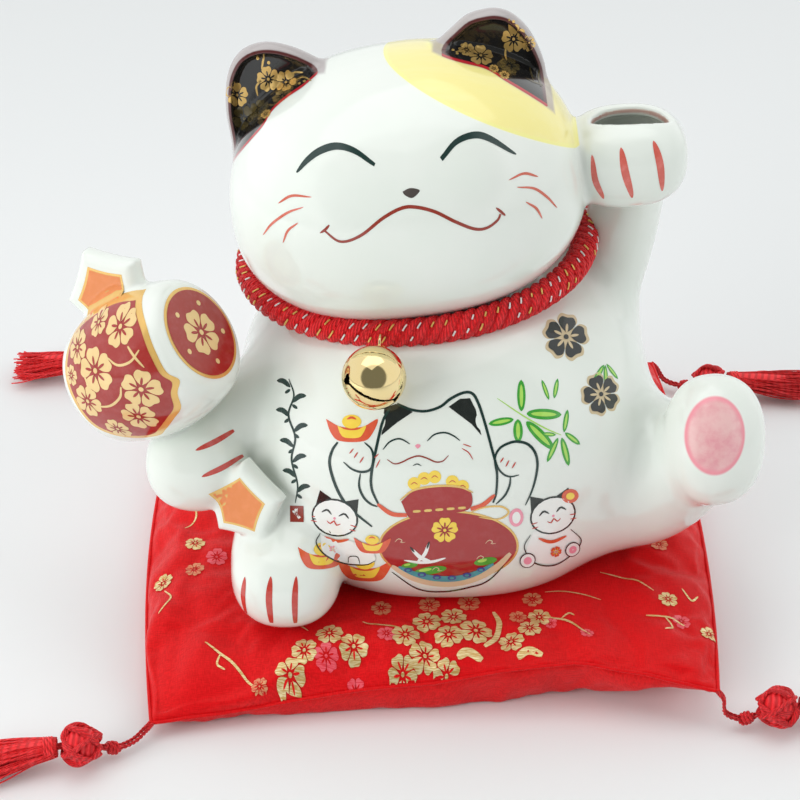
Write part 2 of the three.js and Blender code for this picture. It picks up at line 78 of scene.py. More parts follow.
# The same members as in the CAD model: centre, half sizes, squareness, turn and cheeks.
SEAT_Z = 24
BODY = dict(at=(4, -8, 70), radii=(80, 78, 68), power=2.35)
HEAD = dict(at=(-11, -5, 168.8), radii=(64.5, 54, 46), power=2.3, turn=(0, -9, 0), cheeks=0.07)
RAISED_PAW = dict(at=(68, -6, 178), radii=(22, 19, 17), power=2.5, turn=(0, -4, 0))
MALLET_PAW = dict(at=(-88, -55, 77), radii=(18.5, 17, 18), power=2.2)
STANDING_FOOT = dict(at=(-55, -74, 42), radii=(20.5, 23, 19), power=2.3)
STRETCHED_FOOT = dict(at=(101, -58, 89.5), radii=(18.3, 16.5, 24), power=2.3, turn=(-24, 0, 24))
RAISED_ARM = [(60, 8, 108, 17), (68, 8, 134, 14.5), (72.5, 5, 158, 12), (71, -2, 176, 12)]
MALLET_ARM = [(-58, -28, 92, 16), (-74, -40, 86, 15.5), (-87, -51, 79, 15)]
STANDING_LEG = [(-48, -36, 66, 21), (-53, -50, 56, 21), (-56, -66, 46, 18)]
STRETCHED_LEG = [(52, -28, 60, 33), (76, -36, 59, 29), (94, -50, 76, 20)]
TAIL = [(2, 62, 38, 8), (14, 76, 44, 8), (27, 76, 56, 7.5), (31, 70, 68, 6.5)]
# Each ear's edge in x and z, and the foot of its dark inside in x and upward in the picture.
EARS = {
    "left": dict(
        edge=[
            (-73.5, 166), (-75.5, 180), (-76.5, 192), (-75, 204),
            (-70, 212.5), (-61, 216), (-50, 213.8), (-38, 207.5),
        ],
        foot=[
            (-74, 139), (-71.5, 140.5), (-66, 145), (-61, 150),
            (-58, 155.5), (-53, 160), (-47, 164), (-42, 169),
        ],
    ),
    "right": dict(
        edge=[
            (-3, 213.5), (3.5, 220.3), (9.5, 226), (15.5, 228.3), (21, 228.8), (26.5, 227),
            (32, 222), (36, 215.5), (39.3, 207), (40.6, 197), (41, 190),
        ],
        foot=[(-3, 177), (3, 173.2), (9, 171), (17, 168.8), (24, 164), (33, 158.8), (38, 156), (44, 152)],
    ),
}
EAR_MIDDLE_Y, EAR_THICK, EAR_ROUNDING = 7.5, 9, 0.6
MALLET_AT = np.array((-102, -50, 118.5))
MALLET_FACE = unit((0.75, -0.25, 0.61))
HANDLE = np.array((0.487, -0.416, -0.768))
MALLET_DOWN = unit(HANDLE - MALLET_FACE * (HANDLE @ MALLET_FACE))
MALLET_FRONT = np.cross(MALLET_DOWN, MALLET_FACE)
MALLET_LENGTH, MALLET_MIDDLE_R, MALLET_END_R = 51, 27, 21
KNOBS = {"top": dict(along=-28, behind=0, radius=18.5), "bottom": dict(along=61, behind=7, radius=17)}
KNOB_THICK, KNOB_WAIST = 9, 0.73
# The open mouth of the raised paw, the way down its arm, and the drain hole underneath.
MOUTH_AT, MOUTH_RADII, MOUTH_FLOOR_Z = (68.5, -6.5), (13.6, 6.2), 180
PAW_WALL, ARM_HOLLOW_R = 4, 7.5
DRAIN_R, DRAIN_DEEP = 15.3, 10


def smooth_min(a, b, k):
    h = np.maximum(k - np.abs(a - b), 0) / k
    return np.minimum(a, b) - h * h * k / 4


def smooth_max(a, b, k):
    return -smooth_min(-a, -b, k)


def blob(p, at, radii, power, turn=(0, 0, 0), cheeks=0.0, grow=0.0):
    """Distance to an ellipsoid made squarer by its power, and wider below by its cheeks."""
    radii = np.asarray(radii, float) + grow
    q = (p - at) @ rotation(turn)
    wide = 1 - cheeks * np.clip(q[:, 2] / radii[2], -1.3, 1.3)
    q = np.abs(np.stack([q[:, 0] / wide, q[:, 1] / wide, q[:, 2]], 1)) / radii
    r = np.maximum((q**power).sum(1) ** (1 / power), 1e-3)
    slope = np.linalg.norm((q / r[:, None]) ** (power - 1) / radii, axis=1)
    return (r - 1) / slope


def spline(points, count):
    """A smooth line of that many points through the given ones, in any number of dimensions."""
    points = np.asarray(points, float)
    padded = np.vstack([2 * points[0] - points[1], points, 2 * points[-1] - points[-2]])
    t = np.linspace(0, len(points) - 1, count)
    i = np.minimum(t.astype(int), len(points) - 2)
    f = (t - i)[:, None]
    a, b, c, d = padded[i], padded[i + 1], padded[i + 2], padded[i + 3]
    return 0.5 * (2 * b + (c - a) * f + (2 * a - 5 * b + 4 * c - d) * f**2 + (3 * b - a - 3 * c + d) * f**3)


def limb(p, stations, radius=None):
    """Distance to a limb with round ends along a smooth line of (x, y, z, radius)."""
    line = spline(stations, 4 * len(stations))
    best = np.full(len(p), 1e9)
    for a, b in zip(line[:-1], line[1:]):
        along = b[:3] - a[:3]
        t = np.clip((p - a[:3]) @ along / (along @ along), 0, 1)
        r = a[3] + (b[3] - a[3]) * t if radius is None else radius
        best = smooth_min(best, np.linalg.norm(p - a[:3] - t[:, None] * along, axis=1) - r, 1.0)
    return best


def flat_distance(q, outline):
    """Signed distance in a plane from points to a closed outline, negative inside."""
    best = np.full(len(q), 1e9)
    inside = np.zeros(len(q), bool)
    for a, b in zip(outline, np.roll(outline, -1, axis=0)):
        edge = b - a
        t = np.clip((q - a) @ edge / (edge @ edge), 0, 1)
        best = np.minimum(best, ((q - a - t[:, None] * edge) ** 2).sum(1))
        crosses = (a[1] > q[:, 1]) != (b[1] > q[:, 1])
        rise = edge[1] if edge[1] else 1e-9
        inside ^= crosses & (q[:, 0] < a[0] + (q[:, 1] - a[1]) * edge[0] / rise)
    return np.where(inside, -1, 1) * np.sqrt(best)


def ear_outline(ear):
    """An ear's outline across the head, from a root inside the head over its edge."""
    edge = spline(ear["edge"], 40)
    head = np.array([HEAD["at"][0], HEAD["at"][2]])
    root = head + 0.7 * ((edge[0] + edge[-1]) / 2 - head)
    return np.vstack([root, edge])


def ear_distance(p, ear):
    """Distance to an ear: a rounded plate with a shallow dish in its front."""
    across = flat_distance(p[:, [0, 2]], ear["outline"]) + EAR_ROUNDING
    plate = smooth_max(across, np.abs(p[:, 1] - EAR_MIDDLE_Y) - EAR_THICK / 2, 5.0)
    dish = smooth_max(across + 3.0, p[:, 1] - EAR_MIDDLE_Y + 1.4, 2.0)
    return smooth_max(plate, -dish, 1.5)


def knob_outline(radius):
    """A rosette of five points joined by hollows."""
    t = np.linspace(0, 1, 8, endpoint=False)[:, None]
    sides = []
    for turn in 2 * np.pi * np.arange(5) / 5:
        angles = (turn, turn + np.pi / 5, turn + 2 * np.pi / 5)
        tip, waist, next_tip = [np.array([np.cos(a), np.sin(a)]) for a in angles]
        sides.append((1 - t) ** 2 * tip + 2 * t * (1 - t) * KNOB_WAIST * waist + t**2 * next_tip)
    return radius * np.vstack(sides)


def knob_frame(knob):
    """Centre, first axis and second axis of a rosette that faces the mallet's front."""
    upward = MALLET_DOWN * (-1 if knob["along"] < 0 else 1)
    centre = MALLET_AT + MALLET_DOWN * knob["along"] - MALLET_FRONT * knob["behind"]
    return centre, upward, np.cross(MALLET_FRONT, upward)


def knob_distance(p, knob):
    centre, u, v = knob_frame(knob)
    q = p - centre
    across = flat_distance(np.stack([q @ u, q @ v], 1), knob["outline"])
    return smooth_max(across, np.abs(q @ MALLET_FRONT) - KNOB_THICK / 2, 4.0)


def drum_distance(p):
    """The mallet's barrel: a drum with bulging sides and rounded ends."""
    q = p - MALLET_AT
    along = q @ MALLET_FACE
    out = np.linalg.norm(q - along[:, None] * MALLET_FACE, axis=1)
    half = MALLET_LENGTH / 2
    side = MALLET_MIDDLE_R - (MALLET_MIDDLE_R - MALLET_END_R) * (along / half) ** 2
    return smooth_max((out - side) * 0.9, np.abs(along) - half, 5.0)


for ear in EARS.values():
    ear["outline"] = ear_outline(ear)
for knob in KNOBS.values():
    knob["outline"] = knob_outline(knob["radius"])

# Every member with the place and reach within which it matters, and how softly it joins the rest.
MEMBERS = [
    (lambda p: blob(p, **BODY), BODY["at"], 95, 1),
    (lambda p: blob(p, **HEAD), HEAD["at"], 80, 3),
    (lambda p: limb(p, RAISED_ARM), (68, 5, 140), 62, 12),
    (lambda p: blob(p, **RAISED_PAW), RAISED_PAW["at"], 34, 4),
    (lambda p: limb(p, MALLET_ARM), (-72, -40, 86), 42, 9),
    (lambda p: limb(p, STANDING_LEG), (-52, -52, 56), 42, 10),
    (lambda p: blob(p, **STANDING_FOOT), STANDING_FOOT["at"], 34, 5),
    (lambda p: limb(p, STRETCHED_LEG), (76, -38, 64), 62, 12),
    (lambda p: blob(p, **STRETCHED_FOOT), STRETCHED_FOOT["at"], 36, 3),
    (lambda p: limb(p, TAIL), (18, 72, 52), 40, 6),
    (lambda p: ear_distance(p, EARS["left"]), (-60, 7, 190), 52, 3),
    (lambda p: ear_distance(p, EARS["right"]), (20, 7, 204), 52, 3),
    (lambda p: knob_distance(p, KNOBS["top"]), knob_frame(KNOBS["top"])[0], 30, 2),
    (lambda p: knob_distance(p, KNOBS["bottom"]), knob_frame(KNOBS["bottom"])[0], 30, 2),
    (drum_distance, MALLET_AT, 46, 2),
    (lambda p: blob(p, **MALLET_PAW), MALLET_PAW["at"], 34, 2.5),
]


def paw_hollow(p):
    """The oval mouth in the raised paw and the way down the arm below it."""
    q = (p[:, :2] - MOUTH_AT) / MOUTH_RADII
    r = np.maximum(np.linalg.norm(q, axis=1), 1e-3)
    mouth = (r - 1) / np.linalg.norm(q / r[:, None] / MOUTH_RADII, axis=1)
    mouth = np.maximum(mouth, MOUTH_FLOOR_Z - p[:, 2])
    inside = blob(p, **RAISED_PAW, grow=-PAW_WALL)
    return smooth_min(smooth_min(mouth, inside, 2), limb(p, RAISED_ARM, ARM_HOLLOW_R), 2)


def ceramic(p):
    """Distance in millimetres from points to the surface of the whole ceramic cat, negative inside."""
    total = np.full(len(p), 60.0)
    for member, centre, reach, softness in MEMBERS:
        near = ((p - centre) ** 2).sum(1) < reach**2
        if near.any():
            total[near] = smooth_min(total[near], member(p[near]), softness)
    near = ((p - (70, -2, 160)) ** 2).sum(1) < 70**2
    if near.any():
        total[near] = smooth_max(total[near], -paw_hollow(p[near]), 2.0)
    total = smooth_max(total, SEAT_Z - p[:, 2], 4.0)
    from_axis = np.hypot(p[:, 0] - BODY["at"][0], p[:, 1] - BODY["at"][1])
    drain = np.maximum(from_axis - DRAIN_R, p[:, 2] - SEAT_Z - DRAIN_DEEP)
    return np.maximum(total, -drain)


def gradient(field, p, h=0.05):
    """The field at points, and its slope from steps of h along each axis."""
    value = field(p)
    slope = np.stack([field(p + h * axis) - value for axis in np.eye(3)], 1) / h
    return value, slope


def settle(field, p, rounds):
    """Moves points onto the surface where the field is zero."""
    for _ in range(rounds):
        value, slope = gradient(field, p)
        p = p - np.clip(value, -1, 1)[:, None] * slope / np.maximum((slope**2).sum(1), 0.05)[:, None]
    return p


def surface(field, low, high, step):
    """Vertices and quads of the surface where the field is zero, about a step apart."""
    low = np.asarray(low, float)
    blocks = np.ceil((np.asarray(high) - low) / step / 4).astype(int)
    index = np.indices(blocks).reshape(3, -1).T
    value = field(low + step * (4 * index + 1.5)).reshape(blocks)
    grid = value.repeat(4, 0).repeat(4, 1).repeat(4, 2).astype(np.float32)
    near = np.argwhere(np.abs(value) < 5 * step)
    inner = np.indices((4, 4, 4)).reshape(3, -1).T
    nodes = (4 * near[:, None] + inner[None]).reshape(-1, 3)
    grid[tuple(nodes.T)] = field(low + step * nodes)

    inside = grid < 0
    shape = np.array(grid.shape)
    count = np.zeros(shape - 1, int)
    offsets = np.indices((2, 2, 2)).reshape(3, -1).T
    for o in offsets:
        count += inside[tuple(slice(d, n - 1 + d) for d, n in zip(o, shape))]
    cells = np.argwhere((count > 0) & (count < 8))
    number = np.full(shape - 1, -1)
    number[tuple(cells.T)] = np.arange(len(cells))
    values = np.stack([grid[tuple((cells + o).T)] for o in offsets], 1)
    total, hits = np.zeros((len(cells), 3)), np.zeros(len(cells))
    for a in range(8):
        for b in range(a + 1, 8):
            if np.abs(offsets[a] - offsets[b]).sum() != 1:
                continue
            crosses = (values[:, a] < 0) != (values[:, b] < 0)
            t = values[crosses, a] / (values[crosses, a] - values[crosses, b])
            total[crosses] += offsets[a] + t[:, None] * (offsets[b] - offsets[a])
            hits[crosses] += 1
    verts = low + step * (cells + total / hits[:, None])

    quads = []
    for axis in range(3):
        u, v = np.roll(np.eye(3, dtype=int), -axis - 1, axis=0)[:2]
        front = [slice(1, -1)] * 3
        back = list(front)
        front[axis], back[axis] = slice(0, -1), slice(1, None)
        here, there = inside[tuple(front)], inside[tuple(back)]
        edges = np.argwhere(here != there)
        edges = edges + [0 if i == axis else 1 for i in range(3)]
        outward = inside[tuple(edges.T)]
        around = ((1, 1), (0, 1), (0, 0), (1, 0))
        ring = np.stack([number[tuple((edges - a * u - b * v).T)] for a, b in around], 1)
        ring[~outward] = ring[~outward][:, ::-1]
        quads.append(ring)
    quads = np.vstack(quads)

    for _ in range(3):
        total, hits = np.zeros_like(verts), np.zeros(len(verts))
        for k in range(4):
            a, b = quads[:, k], quads[:, (k + 1) % 4]
            np.add.at(total, a, verts[b])
            np.add.at(hits, a, 1)
            np.add.at(total, b, verts[a])
            np.add.at(hits, b, 1)
        verts = 0.5 * verts + 0.5 * total / hits[:, None]
        verts = settle(field, verts, 1)
    return settle(field, verts, 2), quads


# ------------------------------------------------------------------ materials
def rgba(color):
    return (*color, 1.0)


class Look:
    """A Principled material with nodes added one call at a time."""

    def __init__(self, name, color, roughness, **sockets):
        self.material = bpy.data.materials.new(name)
        self.material.use_nodes = True
        self.tree = self.material.node_tree
        self.shader = self.tree.nodes["Principled BSDF"]
        self.set("Base Color", rgba(color))
        self.set("Roughness", roughness)
        for socket, value in sockets.items():
            self.set(socket.replace("_", " "), value)
        self.place = self.node("ShaderNodeTexCoord").outputs["Object"]

    def set(self, socket, value):
        target = self.shader.inputs[socket]
        if isinstance(value, bpy.types.NodeSocket):
            self.tree.links.new(value, target)
        else:
            target.default_value = value

    def node(self, kind, inputs=None, **settings):
        node = self.tree.nodes.new(kind)
        for key, value in settings.items():
            setattr(node, key, value)
        for key, value in (inputs or {}).items():
            if isinstance(value, bpy.types.NodeSocket):
                self.tree.links.new(value, node.inputs[key])
            else:
                node.inputs[key].default_value = value
        return node

    def noise(self, scale, detail=3.0, roughness=0.5, place=None):
        inputs = {"Vector": place or self.place, "Scale": scale, "Detail": detail, "Roughness": roughness}
        return self.node("ShaderNodeTexNoise", inputs).outputs["Fac"]

    def stretched(self, x, y, z, place=None):
        inputs = {"Vector": place or self.place, "Scale": (x, y, z)}
        return self.node("ShaderNodeMapping", inputs).outputs["Vector"]

    def attribute(self, name):
        return self.node("ShaderNodeAttribute", attribute_name=name).outputs["Fac"]

    def band(self, value, low, high, to_low=0.0, to_high=1.0):
        """A value that goes smoothly from to_low to to_high as its input goes from low to high."""
        inputs = {"Value": value, "From Min": low, "From Max": high, "To Min": to_low, "To Max": to_high}
        return self.node("ShaderNodeMapRange", inputs, interpolation_type="SMOOTHSTEP").outputs["Result"]

    def math(self, operation, a, b=0.0):
        return self.node("ShaderNodeMath", {0: a, 1: b}, operation=operation).outputs[0]

    def mix(self, factor, a, b):
        a, b = [rgba(c) if isinstance(c, tuple) and len(c) == 3 else c for c in (a, b)]
        node = self.node("ShaderNodeMix", {0: factor, 6: a, 7: b}, data_type="RGBA")
        return node.outputs[2]

    def twist(self, lines, pitch):
        """A wave from -1 to 1 that slants round a strand, from the UVs that tubes() gives."""
        uv = self.node("ShaderNodeSeparateXYZ", {"Vector": self.node("ShaderNodeTexCoord").outputs["UV"]})
        round_it = self.math("MULTIPLY", uv.outputs[0], lines)
        turn = self.math("ADD", round_it, self.math("DIVIDE", uv.outputs[1], pitch))
        return self.math("SINE", self.math("MULTIPLY", turn, 2 * math.pi))

    def bump(self, height, distance, strength=1.0, under=None):
        inputs = {"Height": height, "Distance": distance, "Strength": strength}
        if under:
            inputs["Normal"] = under
        return self.node("ShaderNodeBump", inputs).outputs["Normal"]


# ------------------------------------------------------------------ meshes
def mesh_object(name, verts, faces, looks, body=None, uvs=None, indices=None):
    """An object from vertices in millimetres; it rides on the named body."""
    mesh = bpy.data.meshes.new(name)
    if isinstance(faces, np.ndarray):
        faces = faces.tolist()
    mesh.from_pydata((np.asarray(verts) * MM).tolist(), [], faces)
    for look in looks:
        mesh.materials.append(look.material)
    if indices is not None:
        mesh.polygons.foreach_set("material_index", np.asarray(indices, np.int32))
    mesh.polygons.foreach_set("use_smooth", np.full(len(mesh.polygons), True))
    if uvs is not None:
        corners = np.empty(len(mesh.loops), np.int32)
        mesh.loops.foreach_get("vertex_index", corners)
        mesh.uv_layers.new(name="UVMap").data.foreach_set("uv", np.asarray(uvs)[corners].ravel())
    obj = bpy.data.objects.new(name, mesh)
    bpy.context.scene.collection.objects.link(obj)
    if body:
        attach(obj, body)
    return obj


def tubes(lines, radii, sides=6, closed=False):
    """Round strands along many lines at once: lines is (strand, point, 3), and radii fit (strand, point).

    Returns vertices, faces and UVs, whose U goes round the strand and V along it in millimetres.
    """
    lines = np.asarray(lines, float)
    strands, count = lines.shape[:2]
    radii = np.broadcast_to(np.asarray(radii, float), (strands, count))
    if closed:
        ahead, behind = np.roll(lines, -1, 1), np.roll(lines, 1, 1)
    else:
        ahead = np.concatenate([lines[:, 1:], 2 * lines[:, -1:] - lines[:, -2:-1]], 1)
        behind = np.concatenate([2 * lines[:, :1] - lines[:, 1:2], lines[:, :-1]], 1)
    tangent = ahead - behind
    tangent /= np.maximum(np.linalg.norm(tangent, axis=2, keepdims=True), 1e-9)
    side = np.cross(tangent[:, 0], (0.31, 0.17, 0.93))
    normals = []
    for i in range(count):
        side = side - (side * tangent[:, i]).sum(1, keepdims=True) * tangent[:, i]
        side = side / np.maximum(np.linalg.norm(side, axis=1, keepdims=True), 1e-9)
        normals.append(side)
    normal = np.stack(normals, 1)
    other = np.cross(tangent, normal)
    turn = 2 * np.pi * np.arange(sides) / sides
    ring = normal[:, :, None] * np.cos(turn)[:, None] + other[:, :, None] * np.sin(turn)[:, None]
    verts = (lines[:, :, None] + radii[:, :, None, None] * ring).reshape(-1, 3)
    steps = np.linalg.norm(np.diff(lines, axis=1), axis=2)
    along = np.concatenate([np.zeros((strands, 1)), np.cumsum(steps, 1)], 1)
    round_it = (np.arange(sides) / sides)[None, None]
    uvs = np.stack(np.broadcast_arrays(round_it, along[:, :, None]), -1).reshape(-1, 2)
    s, i, k = np.indices((strands, count if closed else count - 1, sides))
    here, beyond = (s * count + i) * sides, (s * count + (i + 1) % count) * sides
    next_k = (k + 1) % sides
    faces = np.stack([here + k, here + next_k, beyond + next_k, beyond + k], -1).reshape(-1, 4).tolist()
    if not closed:
        for strand in range(strands):
            first = strand * count * sides
            faces.append(list(range(first + sides - 1, first - 1, -1)))
            last = first + (count - 1) * sides
            faces.append(list(range(last, last + sides)))
    return verts, faces, uvs


def joined(*forms):
    """Several (vertices, faces, uvs) as one."""
    verts, faces, uvs, start = [], [], [], 0
    for v, f, t in forms:
        verts.append(v)
        faces.extend([[i + start for i in face] for face in f])
        uvs.append(t)
        start += len(v)
    return np.vstack(verts), faces, np.vstack(uvs)


PETAL = [
    (0.2, 0.0), (0.42, 0.27), (0.7, 0.42), (0.95, 0.28),
    (0.93, 0.0), (0.95, -0.28), (0.7, -0.42), (0.42, -0.27),
]
# How far the lowest layer of paint stands off the surface, each further layer, and the widest face kept.
PAINT_GAP, LAYER_GAP, WIDEST_FACE = 0.08, 0.045, 8


class Drawing:
    """Flat shapes in millimetres on a plane, laid onto a surface behind the plane, one object per colour."""

    def __init__(self, name, origin, right, up, tree):
        self.name, self.tree = name, tree
        self.origin, self.right, self.up = np.array(origin, float), unit(right), unit(up)
        self.out = np.cross(self.right, self.up)
        self.shapes = {}

    def add(self, look, verts, faces, layer):
        self.shapes.setdefault((look, layer), []).append((np.asarray(verts, float), faces))

    def line(self, look, points, width, layer=0, ends=(0.35, 0.35), swell=1.0):
        """A brush stroke through the points; its ends are thinner by the given shares."""
        points = np.asarray(points, float)
        length = np.linalg.norm(np.diff(points, axis=0), axis=1).sum()
        path = spline(points, max(6, int(length / 0.7)))
        way = np.gradient(path, axis=0)
        way /= np.maximum(np.linalg.norm(way, axis=1, keepdims=True), 1e-9)
        t = np.linspace(0, 1, len(path))
        thin = ends[0] * (1 - t) + ends[1] * t
        half = width / 2 * (thin + (swell - thin) * (1 - (2 * t - 1) ** 2) ** 0.6)
        side = np.stack([-way[:, 1], way[:, 0]], 1) * half[:, None]
        verts = np.vstack([path + side, path - side])
        n = len(path)
        self.add(look, verts, [(i, i + n, i + n + 1, i + 1) for i in range(n - 1)], layer)

    def area(self, look, outline, layer=0, smooth=True, spacing=2.5):
        """A filled shape, with points about that far apart inside it."""
        outline = np.asarray(outline, float)
        if smooth:
            outline = spline(np.vstack([outline, outline[:1]]), 6 * len(outline) + 1)[:-1]
        low, high = outline.min(0), outline.max(0)
        xs, ys = np.arange(low[0], high[0], spacing), np.arange(low[1], high[1], spacing)
        inner = np.stack(np.meshgrid(xs, ys), -1).reshape(-1, 2) + 0.01
        if len(inner):
            inner = inner[flat_distance(inner, outline) < -0.35 * spacing]
        points = [Vector(p) for p in np.vstack([outline, inner])]
        ring = [(i, (i + 1) % len(outline)) for i in range(len(outline))]
        verts, _, faces, *_ = delaunay_2d_cdt(points, ring, [], 1, 1e-4)
        self.add(look, [tuple(v) for v in verts], [tuple(f) for f in faces], layer)

    def disc(self, look, centre, radii, layer=0, tilt=0.0):
        """A filled circle or ellipse."""
        a, b = (radii, radii) if np.isscalar(radii) else radii
        t = np.linspace(0, 2 * np.pi, 21 if max(a, b) < 8 else 61)[:-1]
        x, y = a * np.cos(t), b * np.sin(t)
        c, s = math.cos(math.radians(tilt)), math.sin(math.radians(tilt))
        outline = np.stack([centre[0] + c * x - s * y, centre[1] + s * x + c * y], 1)
        self.area(look, outline, layer, smooth=False)

    def blossom(self, petals, heart, centre, radius, turn=0.0, layer=0, spacing=2.5):
        """A plum blossom seen from the front: five petals, and a star with a dot at its heart."""
        centre = np.array(centre, float)
        for i in range(5):
            a = math.radians(turn + 72 * i)
            way = np.array([math.cos(a), math.sin(a)])
            side = np.array([-way[1], way[0]])
            petal = [centre + radius * (x * way + y * side) for x, y in PETAL]
            self.area(petals, petal, layer, spacing=spacing)
            ray = [centre + 0.2 * radius * way, centre + 0.62 * radius * way]
            self.line(heart, ray, 0.13 * radius, layer + 1)
        self.disc(petals, centre, 0.12 * radius, layer + 1)

    def finish(self, body, wanted=None, far=200, facing=-1.0):
        """Lays the shapes on from that far in front, where the surface faces the plane at least so much."""
        aim = Vector(-self.out)
        for (look, layer), shapes in self.shapes.items():
            verts, faces, start = [], [], 0
            for v, f in shapes:
                verts.append(v)
                faces.extend([tuple(i + start for i in face) for face in f])
                start += len(v)
            flat = np.vstack(verts)
            starts = self.origin + flat[:, :1] * self.right + flat[:, 1:] * self.up + far * self.out
            place = np.full((len(flat), 3), np.nan)
            for i, start_point in enumerate(starts):
                hit, normal, _, _ = self.tree.ray_cast(Vector(start_point), aim)
                if hit is not None and normal @ -aim > facing and (wanted is None or wanted(hit)):
                    place[i] = np.array(hit) + (PAINT_GAP + LAYER_GAP * layer) * np.array(normal)
            kept = []
            for f in faces:
                corners = place[list(f)]
                if np.isnan(corners).any() or np.ptp(corners, axis=0).max() > WIDEST_FACE:
                    continue
                front = np.cross(corners[1] - corners[0], corners[2] - corners[0]) @ self.out
                kept.append(f if front > 0 else f[::-1])
            used = sorted({i for f in kept for i in f})
            new = {old: i for i, old in enumerate(used)}
            faces = [tuple(new[i] for i in f) for f in kept]
            name = f"{self.name}_{look.material.name}_{layer}"
            mesh_object(name, place[used], faces, [look], body)


# ------------------------------------------------------------------ tassels
# The same corners and routes as in the CAD model.
CORNERS = {
    "front_left": (-103, -119, 7),
    "front_right": (102, -113, 17),
    "back_left": (-105, 106, 11),
    "back_right": (102, 105, 12),
}
TASSELS = {
    "front_left": dict(
        route=[(-105, -121, 5.8), (-109.5, -125.5, 4.2), (-115.5, -129, 4.4)],
        ball=(-126.5, -132.8),
        way=(-1, -0.13, 0),
    ),
    "front_right": dict(
        route=[(104.2, -114.6, 14.6), (105.6, -115, 8), (112.5, -114.6, 4.6)],
        ball=(124.4, -114),
        way=(1, 0.05, 0),
    ),
    "back_left": dict(
        route=[(-107.5, 107.4, 9.6), (-117, 109.6, 4.4), (-131, 111, 4.4)],
        ball=(-143.5, 111.4),
        way=(-1, 0.02, 0),
    ),
    "back_right": dict(
        route=[(104.4, 104.6, 9.8), (108.4, 101.6, 5.2), (115.5, 98.4, 4.4)],
        ball=(127.2, 94.4),
        way=(1, 0.06, 0),
    ),
}
TASSEL_Z, BALL_R, KEEPER_R, CORD_R, SKIRT_LENGTH = 1.3, 8.7, 3.2, 1.5, 38
UP = np.array((0.0, 0.0, 1.0))


def yarn(name, color, lines, pitch, depth=0.0004):
    """Twisted yarn: fine plies slanting round each strand, with painted shade in the grooves between them."""
    look = Look(name, color, 0.55, Sheen_Weight=0.1, Sheen_Roughness=0.4)
    look.set("Sheen Tint", rgba((1.0, 0.35, 0.35)))
    ply = look.twist(lines, pitch)
    # Painted shade: the yarn's colour darkened in the grooves between the plies.
    dark = tuple(0.68 * c for c in color)
    pale = (min(1.0, 1.25 * color[0]), color[1] + 0.03, color[2] + 0.035)
    uneven = look.mix(look.band(look.noise(260, 4, 0.6), 0.35, 0.7), color, pale)
    look.set("Base Color", look.mix(look.band(ply, -0.9, 0.3), dark, uneven))
    look.set("Normal", look.bump(ply, depth, 0.7))
    return look


braid = yarn("red_braid", (0.86, 0.014, 0.02), 3, 2.2)
threads = yarn("red_threads", (0.86, 0.014, 0.018), 2, 3.0, 0.0001)


def frames(path, side):
    """Way, side and up at each point of a path, the side as near to the given one as it can be."""
    way = np.gradient(path, axis=0)
    way /= np.linalg.norm(way, axis=1, keepdims=True)
    side = side - (way @ side)[:, None] * way
    side /= np.linalg.norm(side, axis=1, keepdims=True)
    return way, side, np.cross(way, side)


def coil(path, side, radius, turns, start=0.0):
    """A line wound round a path."""
    _, across, up = frames(path, np.asarray(side, float))
    angle = start + 2 * np.pi * turns * np.linspace(0, 1, len(path))[:, None]
    return path + radius * (np.cos(angle) * across + np.sin(angle) * up)


def tassel_piece(name, part, look, slot, *forms):
    """One piece of a tassel from its forms, on the tassel's body and in place of the CAD node."""
    verts, faces, uvs = joined(*forms)
    piece = mesh_object(f"tassel_{name}_{part}", verts, faces, [look], f"tassel_{name}", uvs=uvs)
    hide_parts(f"tassel_{part}_{name}")
    return piece


def tassel_cord(name, path, side):
    """Two thin ropes side by side, each of two plies."""
    t = np.linspace(0, 1, len(path))
    lines = []
    _, across, _ = frames(path, side)
    for sign in (-1, 1):
        middle = path + sign * (0.72 + 0.1 * np.sin(np.pi * t))[:, None] * across
        for start in (0, np.pi):
            lines.append(coil(middle, side, 0.36, 11, start))
    return tassel_piece(name, "cord", braid, "red_braid", tubes(lines, 0.42, 6))


def tassel_keeper(name, centre, way, side):
    """A small overhand knot: three turns of the double cord."""
    t = np.linspace(-1, 1, 46)[:, None]
    path = centre + 1.9 * t * way
    lines = [coil(path, side, 2.0 - 0.35 * t**2, 3, start) for start in (0.0, 0.55)]
    core = tubes([centre + 3.0 * t[::5] * way], 1.35, 10)
    return tassel_piece(name, "keeper", braid, "red_braid", tubes(lines, 0.62, 8), core)


def tassel_ball(name, centre, way, random):
    """A ball knot: clumps of parallel turns that pass over and under each other."""
    side = unit(np.cross(way, UP))
    basis = np.stack([side, np.cross(way, side), way])
    t = np.linspace(0, 2 * np.pi, 241)[:-1]
    lines = []
    for k in range(5):
        shift = (k - 2) * 0.085
        around = 3 * t + shift * 1.3 + 0.12 * np.sin(2 * t + 1)
        height = 1.08 * np.sin(4 * t + shift * 2.2) + 0.1 * np.sin(3 * t)
        radius = BALL_R - 1.35 + 0.62 * np.sin(12 * t + 0.6) - 0.5 * (shift / 0.17) ** 2
        radius = radius + random.normal(0, 0.05, t.shape)
        ball = np.stack([np.cos(height) * np.cos(around), np.cos(height) * np.sin(around), np.sin(height)], 1)
        lines.append(centre + (radius[:, None] * ball) @ basis)
    t = np.linspace(-1, 1, 13)
    core = tubes([centre + 6.4 * t[:, None] * way], 6.3 * np.sqrt(np.maximum(1 - t**2, 0.03)), 18)
    return tassel_piece(name, "ball", braid, "red_braid", tubes(lines, 0.72, 7, closed=True), core)


